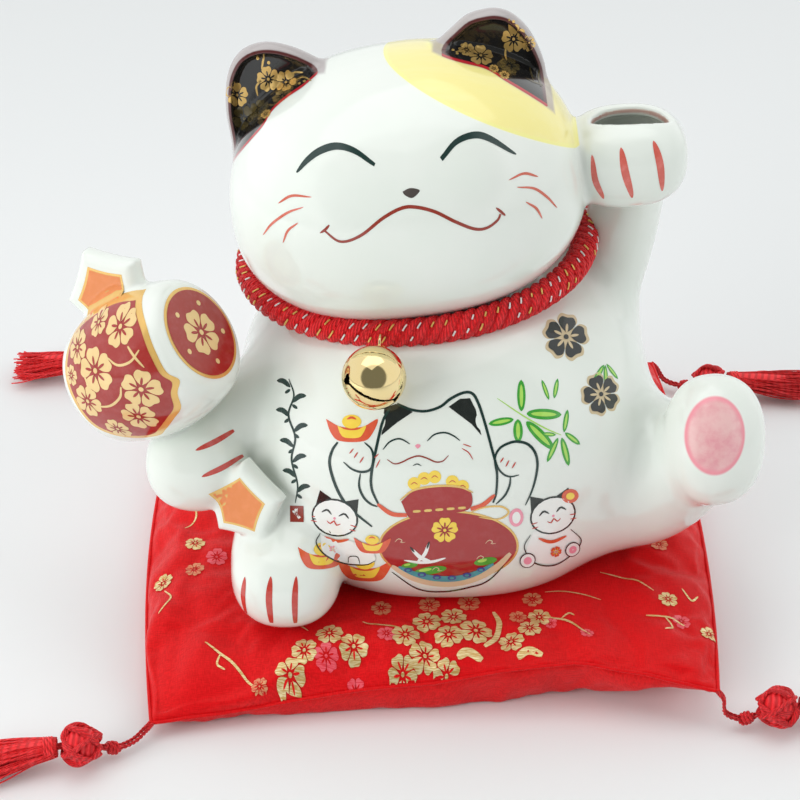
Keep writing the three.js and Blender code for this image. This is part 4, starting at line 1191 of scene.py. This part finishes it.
for turn in range(54, 414, 72):
    a = math.radians(turn)
    end.disc(cream, (END_MIDDLE[0] + 11.6 * math.cos(a), END_MIDDLE[1] + 11.6 * math.sin(a)), 1.0, 5)
# The rays start close to the mallet, because the head stands further along them.
end.finish("cat", far=34)
for knob_name, knob in KNOBS.items():
    centre, u, v = knob_frame(knob)
    inset = Drawing(f"knob_{knob_name}", centre, u, v, cat_tree)
    inset.area(gilt_edge, knob_outline(knob["radius"] * 0.66), 0, smooth=False)
    inset.area(orange, knob_outline(knob["radius"] * 0.59), 1, smooth=False)
    middle = Vector(centre)
    inset.finish("cat", lambda hit: (hit - middle).length < knob["radius"], far=30)

# ------------------------------------------------------------------ collar
COLLAR_AT = np.array((-7.0, 0.0, 136.0))
COLLAR_RADII = (63, 51.5)
COLLAR_TURN = rotation((4.6, 0, 0)) @ rotation((0, -6, 0))
ROPE_R, ROPE_TURNS = 5.5, 21


def collar_line(angle):
    """Points on the middle of the collar's rope."""
    flat = np.stack([COLLAR_RADII[0] * np.cos(angle), COLLAR_RADII[1] * np.sin(angle), 0 * angle], -1)
    return COLLAR_AT + flat @ COLLAR_TURN.T


def on_rope(angle, turn, radius):
    """Points round the collar's rope: turn 0 is its outer side and a quarter turn its top."""
    h = 1e-3
    middle = collar_line(angle)
    way = collar_line(angle + h) - collar_line(angle - h)
    way /= np.linalg.norm(way, axis=-1, keepdims=True)
    out = np.cross(way, COLLAR_TURN[:, 2])
    out /= np.linalg.norm(out, axis=-1, keepdims=True)
    up = np.cross(out, way)
    return middle + radius[..., None] * (np.cos(turn)[..., None] * out + np.sin(turn)[..., None] * up)


collar_yarn = yarn("collar_braid", (0.95, 0.01, 0.016), 3, 2.0)
lame_gold = Look("gold_thread", (0.95, 0.66, 0.2), 0.28, Metallic=0.85)
lame_silver = Look("silver_thread", (0.95, 0.94, 0.92), 0.3, Metallic=0.6)
for look in (lame_gold, lame_silver):
    look.set("Normal", look.bump(look.noise(3000, 2), 0.0001, 0.5))

STRANDS, YARNS = 4, 6
steps_a_turn = 18
around_neck = np.linspace(0, 2 * np.pi, ROPE_TURNS * steps_a_turn + 1)[:-1]
rope = []
for k in range(STRANDS):
    for j in range(YARNS):
        from_middle = (j - (YARNS - 1) / 2) / ((YARNS - 1) / 2)
        turn = ROPE_TURNS * around_neck + 2 * np.pi * (k + 0.38 * from_middle) / STRANDS
        rope.append(on_rope(around_neck, turn, ROPE_R - 0.95 - 0.75 * from_middle**2 + 0 * turn))
core = tubes([collar_line(around_neck[::6])], 4.0, 16, closed=True)
verts, faces, uvs = joined(tubes(rope, 0.74, 6, closed=True), core)
collar = mesh_object("collar_rope", verts, faces, [collar_yarn], "cat", uvs=uvs)
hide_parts("collar_cord")

# Short metal threads on the strands, on the rope's outer and upper sides.
random = np.random.default_rng(7)
flecks = {"gold": [], "silver": []}
for k in range(STRANDS):
    for n in range(ROPE_TURNS):
        kind = "gold" if (STRANDS * n - k) % 4 < 2 else "silver"
        for low, high in ((-2, 23), (50, 74)):
            if random.uniform() < 0.18:
                continue
            shift = random.normal(0, 3, 2)
            turn = np.radians(np.linspace(low + shift[0], high + shift[1], 6))
            place = (turn + 2 * np.pi * (n - (k + 0.47) / STRANDS)) / ROPE_TURNS
            flecks[kind].append(on_rope(place, turn, 0 * turn + ROPE_R - 0.5))
for kind, look, slot in (("gold", lame_gold, "gilt_brass"), ("silver", lame_silver, "steel")):
    verts, faces, uvs = tubes(flecks[kind], 0.34, 6)
    mesh_object(f"collar_{kind}_threads", verts, faces, [look], "cat", uvs=uvs)

# ------------------------------------------------------------------ bell
BELL_AT = np.array((-22.0, -75.4, 128.8))
BELL_R, BELL_WALL = 11.2, 0.6
RING_X = -19.4
ring_angle = -math.acos((RING_X - COLLAR_AT[0]) / COLLAR_RADII[0])
rope_at_ring = collar_line(np.array(ring_angle))
# The pole runs down through the bell; the slot crosses its lower half between two heart-shaped holes.
POLE = unit(BELL_AT - rope_at_ring)
ACROSS = unit(np.array(X) - POLE[0] * POLE)
THREAD = np.cross(ACROSS, POLE)
SLOT_SIDE = np.array((-0.84, -0.476, 0.263))
SLOT_WAY = unit(SLOT_SIDE - (SLOT_SIDE @ POLE) * POLE)
SLOT_NORMAL = np.cross(POLE, SLOT_WAY)
SLOT_HALF, HOLE_ANGLE = 0.45, math.radians(58)

brass = Look("gilt_brass", (0.93, 0.73, 0.36), 0.07, Metallic=1.0)
brass.set("Roughness", brass.band(brass.noise(500, 4, 0.6), 0.4, 0.8, 0.05, 0.14))
brass.set("Base Color", brass.mix(brass.noise(120, 3), (0.94, 0.72, 0.33), (0.93, 0.77, 0.43)))
brass.set("Normal", brass.bump(brass.noise(160, 2), 0.00012, 0.25))
# Painted shade: the inside of the bell is made nearly black.
inside_shade_brass = Look("bell_inside", (0.05, 0.035, 0.015), 0.6, Metallic=0.6)
inside_shade_tone = inside_shade_brass.mix(inside_shade_brass.noise(300, 4), (0.03, 0.02, 0.01), (0.08, 0.06, 0.03))
inside_shade_brass.set("Base Color", inside_shade_tone)


def heart_outline(size):
    """A heart of that width."""
    t = np.linspace(0, 2 * np.pi, 41)[:-1]
    x = 16 * np.sin(t) ** 3
    y = 13 * np.cos(t) - 5 * np.cos(2 * t) - 2 * np.cos(3 * t) - np.cos(4 * t)
    return size / 32 * np.stack([x, y], 1)


HEART = heart_outline(4.3)


def bell_shell(upper):
    """The field of one half of the bell: a thin shell, the lower one with its slot and holes."""

    def field(p):
        q = p - BELL_AT
        r = np.linalg.norm(q, axis=1)
        along = q @ POLE
        shell = np.abs(r - BELL_R + BELL_WALL / 2) - BELL_WALL / 2
        shell = smooth_max(shell, (along if upper else -along) + 0.1, 0.15)
        if upper:
            return shell
        turn = np.arctan2(q @ SLOT_WAY, along)
        slot = np.maximum(np.abs(q @ SLOT_NORMAL) - SLOT_HALF, r * (np.abs(turn) - HOLE_ANGLE))
        slot = np.maximum(slot, 2 - along)
        for sign in (-1, 1):
            hole = sign * turn - HOLE_ANGLE
            flat = np.stack([q @ SLOT_NORMAL, r * hole + 0.4], 1)
            near = (np.abs(flat).max(1) < 4) & (r > 5)
            heart = np.full(len(q), 9.0)
            heart[near] = flat_distance(flat[near], HEART)
            slot = np.minimum(slot, heart)
        return np.maximum(shell, -slot)

    return field


def bell_half(name, node, upper):
    """One half of the bell, with painted shade inside, and the normals of a ball wherever it is one."""
    field = bell_shell(upper)
    verts, quads = surface(field, BELL_AT - 12.5, BELL_AT + 12.5, 0.35)
    distance = np.linalg.norm(verts - BELL_AT, axis=1, keepdims=True)
    outer = distance[:, 0] > BELL_R - BELL_WALL / 2
    inner = (~outer[quads]).all(1)
    obj = mesh_object(name, verts, quads, [brass, inside_shade_brass], "bell", indices=inner)
    _, slope = gradient(field, verts, 0.02)
    normals = slope / np.linalg.norm(slope, axis=1, keepdims=True)
    ball = (verts - BELL_AT) / distance
    facing = (normals * ball).sum(1, keepdims=True)
    normals = np.where(np.abs(facing) > 0.97, np.sign(facing) * ball, normals)
    obj.data.normals_split_custom_set_from_vertices(normals.tolist())
    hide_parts(node)


bell_half("bell_top_half", "bell_upper_shell", True)
bell_half("bell_bottom_half", "bell_lower_shell", False)


def wire_ring(name, body, node, centre, a, b, radius, wire, opening):
    """A ring of wire whose ends meet with a small opening."""
    t = np.radians(np.linspace(opening, 360 - opening, 61))[:, None]
    verts, faces, uvs = tubes([centre + radius * (np.cos(t) * a + np.sin(t) * b)], wire, 12)
    obj = mesh_object(name, verts, faces, [brass], body, uvs=uvs)
    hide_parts(node)


ring_at = rope_at_ring + (ROPE_R + 0.4) * POLE
loop_at = BELL_AT - (BELL_R + 3.6) * POLE
wire_ring("ring_through_collar", "ring", "jump_ring", ring_at, -POLE, THREAD, 3.2, 0.5, 2)
wire_ring("bell_eye", "bell", "bell_loop", loop_at, ACROSS, POLE, 2.9, 0.5, 3)

steel = Look("steel_ball", (0.6, 0.6, 0.6), 0.25, Metallic=1.0)
steel.set("Roughness", steel.band(steel.noise(900, 4), 0.3, 0.7, 0.15, 0.4))
rubber = Look("grey_rubber", (0.32, 0.32, 0.31), 0.7)
rubber.set("Base Color", rubber.mix(rubber.noise(200, 4), (0.27, 0.27, 0.26), (0.36, 0.36, 0.35)))
rubber.set("Normal", rubber.bump(rubber.noise(1800, 3), 0.0002, 0.4))
for node, look in (("bell_pellet", steel), ("base_stopper", rubber)):
    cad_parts[node].material_slots[0].material = look.material

# ------------------------------------------------------------------ cushion
BOW = dict(left=9, right=6, front=-9, back=-4)
SEAT_TOP = SEAT_Z - 0.3
# Height of the seam at nine places along each side.
SEAMS = {
    "front": (7, 7.4, 10.5, 13.7, 15.4, 20.5, 22.7, 22.3, 17),
    "back": (11, 12, 13, 14, 14, 14, 13, 12.5, 12),
    "left": (7, 9.5, 12, 13, 13, 13, 12.5, 12, 11),
    "right": (17, 17.5, 17, 16, 15, 14, 13.5, 13, 12),
}


def mixed(a, b, t):
    """From a to b by the share t."""
    return a + (b - a) * t


def seam_height(side, t):
    """The seam's height along one side, for t from -1 to 1."""
    return np.interp(t, np.linspace(-1, 1, 9), SEAMS[side])


def cushion_plan(u, v):
    """Where the cushion's plan lies, and the height of its seam nearby, for u and v from -1 to 1."""
    corner = {k: np.array(c[:2], float) for k, c in CORNERS.items()}
    s, t = (u[:, None] + 1) / 2, (v[:, None] + 1) / 2
    front = mixed(corner["front_left"], corner["front_right"], s)
    back = mixed(corner["back_left"], corner["back_right"], s)
    plan = mixed(front, back, t)
    plan[:, 0] += (1 - v * v) * (BOW["right"] * (1 + u) - BOW["left"] * (1 - u)) / 2
    plan[:, 1] += (1 - u * u) * (BOW["back"] * (1 + v) - BOW["front"] * (1 - v)) / 2
    tucked = np.interp(u, (-1, 0, 0.25, 0.5, 0.75, 1), (0, 0, 1, 4, 1.5, 0))
    plan[:, 1] += tucked * np.clip(-v, 0, 1) ** 2
    total, seam = 0, 0
    sides = (("front", 1 - v, u), ("back", 1 + v, u), ("left", 1 - u, v), ("right", 1 + u, v))
    for side, near, along in sides:
        total = total + near**8
        seam = seam + near**8 * seam_height(side, along)
    return plan, seam / total


# Long soft folds in the top: from, to, width and height, in parts of the plan and millimetres.
FOLDS = (
    ((-0.93, -0.92), (-0.78, -0.25), 3.5, -1.6), ((-0.86, -0.94), (-0.66, -0.45), 4.5, 1.3),
    ((-0.62, -0.97), (-0.45, -0.70), 3.5, -1.2), ((-0.96, -0.35), (-0.72, -0.15), 3.0, -1.2),
    ((-0.30, -0.97), (-0.22, -0.78), 4.0, -0.8), ((0.10, -0.97), (0.16, -0.82), 3.5, -0.8),
    ((0.56, -0.99), (0.44, -0.62), 4.5, 1.4), ((0.66, -0.97), (0.60, -0.55), 3.5, -1.3),
    ((0.93, -0.90), (0.80, -0.50), 4.0, -1.3), ((0.97, -0.45), (0.78, -0.30), 3.0, -1.2),
    ((0.95, 0.05), (0.76, 0.10), 4.0, 1.0), ((-0.96, 0.30), (-0.74, 0.35), 4.0, -1.2),
    ((0.90, 0.92), (0.62, 0.66), 5.0, -1.3), ((-0.90, 0.93), (-0.66, 0.68), 5.0, -1.3),
    ((-0.20, 0.97), (-0.14, 0.76), 4.0, -1.1), ((0.35, 0.97), (0.30, 0.74), 4.0, 1.0),
)


def puckers(u, v, up, random):
    """Folds that run in from the seam and fade, and a few long soft ones at the corners."""
    lift = np.zeros(len(u))
    for along, off in ((u, 1 - np.abs(v)), (v, 1 - np.abs(u))):
        reach = 100 * off
        for _ in range(14):
            where, wide = random.uniform(-0.97, 0.97), random.uniform(0.012, 0.04)
            deep, far, lean = random.uniform(0.3, 1.1), random.uniform(6, 17), random.uniform(-0.004, 0.004)
            ridge = np.exp(-(((along - where - lean * reach) / wide) ** 2))
            fading = np.exp(-((reach / far) ** 2)) * (1 - np.exp(-reach / 2))
            lift += deep * ridge * fading * random.choice((-1, 1))
    if up:
        for start, end, wide, high in FOLDS:
            a, way = 100 * np.array(start), 100 * (np.array(end) - start)
            from_a = np.stack([100 * u, 100 * v], 1) - a
            t = from_a @ way / (way @ way)
            off = (from_a[:, 0] * way[1] - from_a[:, 1] * way[0]) / np.linalg.norm(way)
            fading = np.exp(-((2 * t - 1) ** 4)) * (np.abs(t - 0.5) < 1.2)
            lift += high * np.exp(-((off / wide) ** 2)) * fading
    return lift * (1.0 if up else 1.7)


CELLS = 88
even = np.linspace(-1, 1, CELLS + 1)
ramp = 0.45 * np.sin(even * np.pi / 2) + 0.55 * even
U, V = [a.ravel() for a in np.meshgrid(ramp, ramp, indexing="ij")]
plan, seam = cushion_plan(U, V)
full = np.minimum((1 - U**6) * (1 - V**6) * 1.9, 1)
round_off = np.sqrt(1 - (1 - full) ** 2)
tops = np.column_stack([plan, mixed(seam, SEAT_TOP, mixed(full, round_off, 0.6))])
# Underneath, the cover reaches the table this far in from the seam.
reach = np.stack([
    np.where(V < 0, np.interp(U, (-1, -0.5, 0, 0.25, 0.5, 0.75, 1), (12, 4, 3, 6, 13, 24, 46)), 22),
    np.where(U < 0, 16, np.interp(V, (-1, -0.5, 0, 1), (46, 26, 20, 20))),
])
inward = np.clip(100 * np.stack([1 - np.abs(V), 1 - np.abs(U)]) / reach, 0, 1).min(0)
unders = np.column_stack([plan, seam * (1 - np.sqrt(1 - (1 - inward) ** 2))])
# The top and the underside share the vertices of the seam.
number = np.arange((CELLS + 1) ** 2).reshape(CELLS + 1, CELLS + 1)
at_seam = np.zeros_like(number, bool)
at_seam[[0, -1]] = at_seam[:, [0, -1]] = True
off_seam = ~at_seam.ravel()
under_number = np.where(at_seam, number, 0)
under_number[~at_seam] = len(U) + np.arange(off_seam.sum())
flat_cover = np.vstack([tops, unders[off_seam]])


def quads_of(n):
    """The quads of a grid of vertex numbers."""
    return np.stack([n[:-1, :-1], n[1:, :-1], n[1:, 1:], n[:-1, 1:]], -1).reshape(-1, 4)


cover_faces = np.vstack([quads_of(number), quads_of(under_number)[:, ::-1]])

satin = Look(
    "red_satin", (0.66, 0.008, 0.012), 0.42, Sheen_Weight=0.08, Sheen_Roughness=0.35, Specular_IOR_Level=0.35
)
satin.set("Sheen Tint", rgba((1.0, 0.25, 0.27)))
satin.set("Specular Tint", rgba((1.0, 0.35, 0.3)))
warp = satin.noise(1, 2, 0.5, satin.stretched(5200, 380, 700))
weft = satin.noise(1, 2, 0.5, satin.stretched(380, 5200, 700))
weave = satin.math("ADD", warp, weft)
tone = satin.mix(satin.band(weave, 0.75, 1.25), (0.60, 0.005, 0.007), (0.80, 0.010, 0.014))
tone = satin.mix(satin.band(satin.noise(14, 3), 0.35, 0.7, 0.0, 0.35), tone, (0.62, 0.004, 0.007))
satin.set("Base Color", tone)
satin.set("Roughness", satin.band(weave, 0.7, 1.3, 0.5, 0.34))
satin.set("Normal", satin.bump(weave, 0.00012, 0.55))
cushion = mesh_object("cushion_cover", flat_cover, cover_faces, [satin], "cushion")
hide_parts("cushion_top_panel", "cushion_bottom_panel", "cushion_filling")


def blown_up(start):
    """The cover blown up as cloth, held at its seam, at its seat and where it lies on the table."""
    seat_half, most_move = 74, 3.5
    on_seat = (np.abs(start[:, 0]) < seat_half) & (np.abs(start[:, 1] - BODY["at"][1]) < seat_half)
    held = on_seat | (start[:, 2] < 0.2)
    group = cushion.vertex_groups.new(name="held")
    group.add(np.flatnonzero(held).tolist(), 1.0, "REPLACE")
    group.add(np.flatnonzero(at_seam.ravel()).tolist(), 1.0, "REPLACE")
    cloth = cushion.modifiers.new("cloth", "CLOTH")
    cloth.settings.vertex_group_mass = "held"
    cloth.settings.quality = 5
    cloth.settings.mass = 0.15
    cloth.settings.tension_stiffness = cloth.settings.compression_stiffness = 12
    cloth.settings.bending_stiffness = 0.4
    cloth.settings.shrink_min = -0.035
    cloth.settings.use_pressure = True
    cloth.settings.uniform_pressure_force = 4
    cloth.settings.effector_weights.gravity = 0
    cloth.collision_settings.use_collision = False
    for step in range(1, 21):
        bpy.context.scene.frame_set(step)
    blown = cushion.evaluated_get(bpy.context.evaluated_depsgraph_get()).data
    after = np.empty(len(start) * 3)
    blown.vertices.foreach_get("co", after)
    cushion.modifiers.remove(cloth)
    cushion.vertex_groups.clear()
    bpy.context.scene.frame_set(1)
    move = after.reshape(-1, 3) / MM - start
    size = np.linalg.norm(move, axis=1, keepdims=True)
    return start + move * np.minimum(1, most_move / np.maximum(size, 1e-9))


cover = blown_up(flat_cover)
random = np.random.default_rng(21)
all_u = np.concatenate([U, U[off_seam]])
all_v = np.concatenate([V, V[off_seam]])
on_top = np.arange(len(cover)) < len(U)
top_folds = puckers(all_u, all_v, True, random)
under_folds = puckers(all_u, all_v, False, random)
folds = np.where(on_top, top_folds, -under_folds)
cover[:, 2] += folds * (np.abs(cover[:, 2] - flat_cover[:, 2]) < 9)
# The top is pressed down where the cat would touch it, and nothing goes below the table.
for _ in range(8):
    near = (cover[:, 2] > 18) & on_top
    cover[near, 2] -= np.clip(0.35 - ceramic(cover[near]), 0, 0.8)
cover[:, 2] = np.maximum(cover[:, 2], 0.02)
cushion.data.vertices.foreach_set("co", (cover * MM).ravel())
cushion.data.update()
# The seam stays sharp when the cover is subdivided.
crease = cushion.data.attributes.new("crease_edge", "FLOAT", "EDGE")
ends = np.empty(2 * len(cushion.data.edges), np.int32)
cushion.data.edges.foreach_get("vertices", ends)
seam_vertex = np.zeros(len(cover), bool)
seam_vertex[number[at_seam]] = True
crease.data.foreach_set("value", seam_vertex[ends.reshape(-1, 2)].all(1).astype(np.float32))
smoother = cushion.modifiers.new("finer", "SUBSURF")
smoother.levels = smoother.render_levels = 1

# The seam's folded edge.
edge = cover[np.concatenate([number[:, 0], number[-1, 1:], number[-2::-1, -1], number[0, -2:0:-1]])]
outward = edge - cover[: len(U)].mean(0)
edge = edge + 0.25 * outward / np.linalg.norm(outward, axis=1, keepdims=True)
verts, faces, uvs = tubes([edge], 0.7, 8, closed=True)
welt = mesh_object("cushion_seam_edge", verts, faces, [satin], "cushion", uvs=uvs)

bpy.context.view_layer.update()
finer = cushion.evaluated_get(bpy.context.evaluated_depsgraph_get()).data
cushion_tree = BVHTree.FromPolygons(
    [vertex.co / MM for vertex in finer.vertices], [tuple(face.vertices) for face in finer.polygons]
)


def woven(name, color, roughness, low, high, dark, pale, **sockets):
    """Flat threads of the brocade, from dark to pale in lines across the cushion."""
    look = Look(name, color, roughness, **sockets)
    lines = look.noise(1, 2, 0.5, look.stretched(300, 4200, 600))
    look.set("Base Color", look.mix(look.band(lines, low, high), dark, pale))
    return look, lines


brocade_gold, gold_lines = woven(
    "brocade_gold", (0.83, 0.62, 0.26), 0.36, 0.38, 0.62,
    (0.70, 0.42, 0.12), (0.97, 0.84, 0.48), Metallic=0.55,
)
brocade_gold.set("Normal", brocade_gold.bump(gold_lines, 0.0002, 0.7))
brocade_dim, _ = woven(
    "brocade_dim", (0.78, 0.25, 0.12), 0.42, 0.35, 0.65,
    (0.68, 0.06, 0.04), (0.80, 0.42, 0.2), Metallic=0.3,
)
brocade_pink, _ = woven(
    "brocade_pink", (0.82, 0.08, 0.11), 0.36, 0.35, 0.65,
    (0.74, 0.03, 0.05), (0.88, 0.12, 0.16), Sheen_Weight=0.3,
)
brocade = Drawing("brocade", (0, 0, 0), X, (0, 1, 0), cushion_tree)
for look, bigger, layer, blossoms in (
    (brocade_gold, 1.12, 5, (
        (-53, -107, 5, 10), (-48, -99, 4.3, 40), (-39, -92, 4.6, 20), (-30, -97, 4.9, 60), (-11, -92, 4.8, 5),
        (-12, -105, 4.8, 50), (-3, -84, 5.0, 30), (-4, -100, 5.2, 12), (5, -92, 4.8, 44), (15, -89, 5.6, 0),
        (7, -81, 4.5, 66), (4, -106, 4.6, 35), (28, -94, 4.3, 15), (35, -88, 3.9, 52), (39, -81, 3.9, 20),
        (88, -72, 3.4, 30), (102, -86, 3.0, 10), (-104, -57, 3.4, 25), (-93, -40, 3.6, 0), (88, 58, 4.2, 10),
        (80, 68, 3.6, 40), (-88, 62, 4.2, 0), (-80, 74, 3.8, 30), (-20, 92, 4.4, 15), (-8, 98, 4.6, 50),
        (4, 90, 4.2, 70), (52, 88, 3.6, 5), (-55, 90, 3.8, 62), (92, 0, 3.8, 25),
    )),
    (brocade_dim, 1, 5, (
        (13, -73, 4.4, 20), (37, -71, 4.0, 50), (-2, -74, 4.2, 10), (31, -81, 3.4, 0), (-20, -76, 4, 30),
        (88, -40, 3.8, 15), (-64, -110, 3.0, 45), (-92, -54, 3.8, 5), (92, 72, 3.6, 20), (-92, 78, 3.6, 15),
        (16, 98, 3.8, 30), (-34, 98, 3.6, 0), (94, 14, 3.4, 50),
    )),
    (brocade_pink, 1, 3, (
        (-40, -101, 4.6, 20), (-29, -109, 3.8, 60), (-18, -92, 3.6, 0), (92, -82, 3.6, 40),
        (56, -91, 2.6, 10), (-84, -48, 4.2, 15), (43, -84, 2.6, 30), (80, 84, 4.0, 20),
        (-74, 88, 3.8, 40), (-12, 86, 3.8, 5), (-95, 20, 3.6, 30),
    )),
):
    for x, y, r, turn in blossoms:
        brocade.blossom(look, satin, (x, y), bigger * r, turn, layer, spacing=1.1)
for points, width in (
    ([(-85, -92), (-79, -97), (-74, -101), (-66, -110)], 1.0),
    ([(-79, -97), (-80, -101), (-77, -103)], 0.8),
    ([(-57, -80), (-52, -84), (-47, -89)], 0.8),
    ([(-27, -84), (-20, -87), (-14, -88)], 0.8),
    ([(43, -81), (50, -85), (57, -92)], 0.9),
    ([(47, -83), (50, -80), (52, -81)], 0.8),
    ([(42, -67), (52, -67), (63, -70)], 0.6),
    ([(64, -55), (71, -58), (78, -62), (83, -68)], 0.7),
    ([(79, -80), (86, -81), (93, -84)], 0.8),
    ([(86, -81), (88, -87), (85, -89)], 0.8),
    ([(94, -66), (97, -71), (100, -68)], 0.8),
    ([(-104, -75), (-100, -68), (-103, -62)], 0.7),
    ([(-98, -30), (-94, -24), (-96, -14)], 0.7),
    ([(70, 74), (60, 82), (50, 94)], 0.9),
    ([(-66, 80), (-52, 84), (-40, 92)], 0.9),
    ([(8, 92), (22, 88), (36, 92)], 0.8),
    ([(96, 24), (93, 34), (96, 46)], 0.8),
    ([(22, -78), (24, -84), (22, -92), (18, -96)], 2.2),
    ([(30, -101), (34, -99), (39, -101)], 3.4),
    ([(8, -101), (12, -99), (17, -102)], 3.6),
):
    brocade.line(brocade_gold, points, width, 4, ends=(0.4, 0.5))
brocade.finish("cushion", facing=0.3)

# ------------------------------------------------------------------ floor and light
FLOOR_HALF, FLOOR_Z = 3000, -0.05
floor_look = Look("floor", (0.82, 0.835, 0.84), 0.6)
floor_corners = [(FLOOR_HALF * x, FLOOR_HALF * y, FLOOR_Z) for x, y in ((-1, -1), (1, -1), (1, 1), (-1, 1))]
mesh_object("floor", floor_corners, [(0, 1, 2, 3)], [floor_look])
world = bpy.data.worlds.new("studio")
bpy.context.scene.world = world
world.use_nodes = True
# A pale room with a dark side behind the camera, which the bell and the glaze mirror.
nodes, links = world.node_tree.nodes, world.node_tree.links
toward_camera = nodes.new("ShaderNodeVectorMath")
toward_camera.operation = "DOT_PRODUCT"
toward_camera.inputs[1].default_value = TOWARDS_CAMERA
links.new(nodes.new("ShaderNodeTexCoord").outputs["Generated"], toward_camera.inputs[0])
dark_side = nodes.new("ShaderNodeMapRange")
dark_side.interpolation_type = "SMOOTHSTEP"
dark_side.inputs["From Min"].default_value = math.cos(math.radians(50))
dark_side.inputs["From Max"].default_value = math.cos(math.radians(42))
links.new(toward_camera.outputs["Value"], dark_side.inputs["Value"])
shade = nodes.new("ShaderNodeMix")
shade.data_type = "RGBA"
shade.inputs[6].default_value = (0.95, 0.965, 0.965, 1)
shade.inputs[7].default_value = (0.20, 0.21, 0.20, 1)
links.new(dark_side.outputs["Result"], shade.inputs[0])
links.new(shade.outputs[2], nodes["Background"].inputs["Color"])
nodes["Background"].inputs["Strength"].default_value = 0.96


def softbox(name, place, target, size, watts, mirrored=True):
    """A soft rectangular lamp turned to its target, which shiny surfaces may mirror or not."""
    light = bpy.data.lights.new(name, "AREA")
    light.shape, light.size, light.size_y, light.energy = "RECTANGLE", size[0], size[1], watts
    obj = bpy.data.objects.new(name, light)
    obj.location = place
    obj.rotation_euler = (Vector(target) - Vector(place)).to_track_quat("-Z", "Y").to_euler()
    obj.visible_glossy = mirrored
    bpy.context.scene.collection.objects.link(obj)


softbox("overhead", (-0.1, 0.1, 1.3), (0, 0, 0.05), (1.3, 1.1), 3.3)
softbox("left", (-1.0, -0.75, 0.55), (0, 0, 0.1), (0.8, 0.8), 8.5, mirrored=False)
softbox("right", (1.1, -0.35, 0.7), (0, 0, 0.1), (0.7, 0.9), 3, mirrored=False)
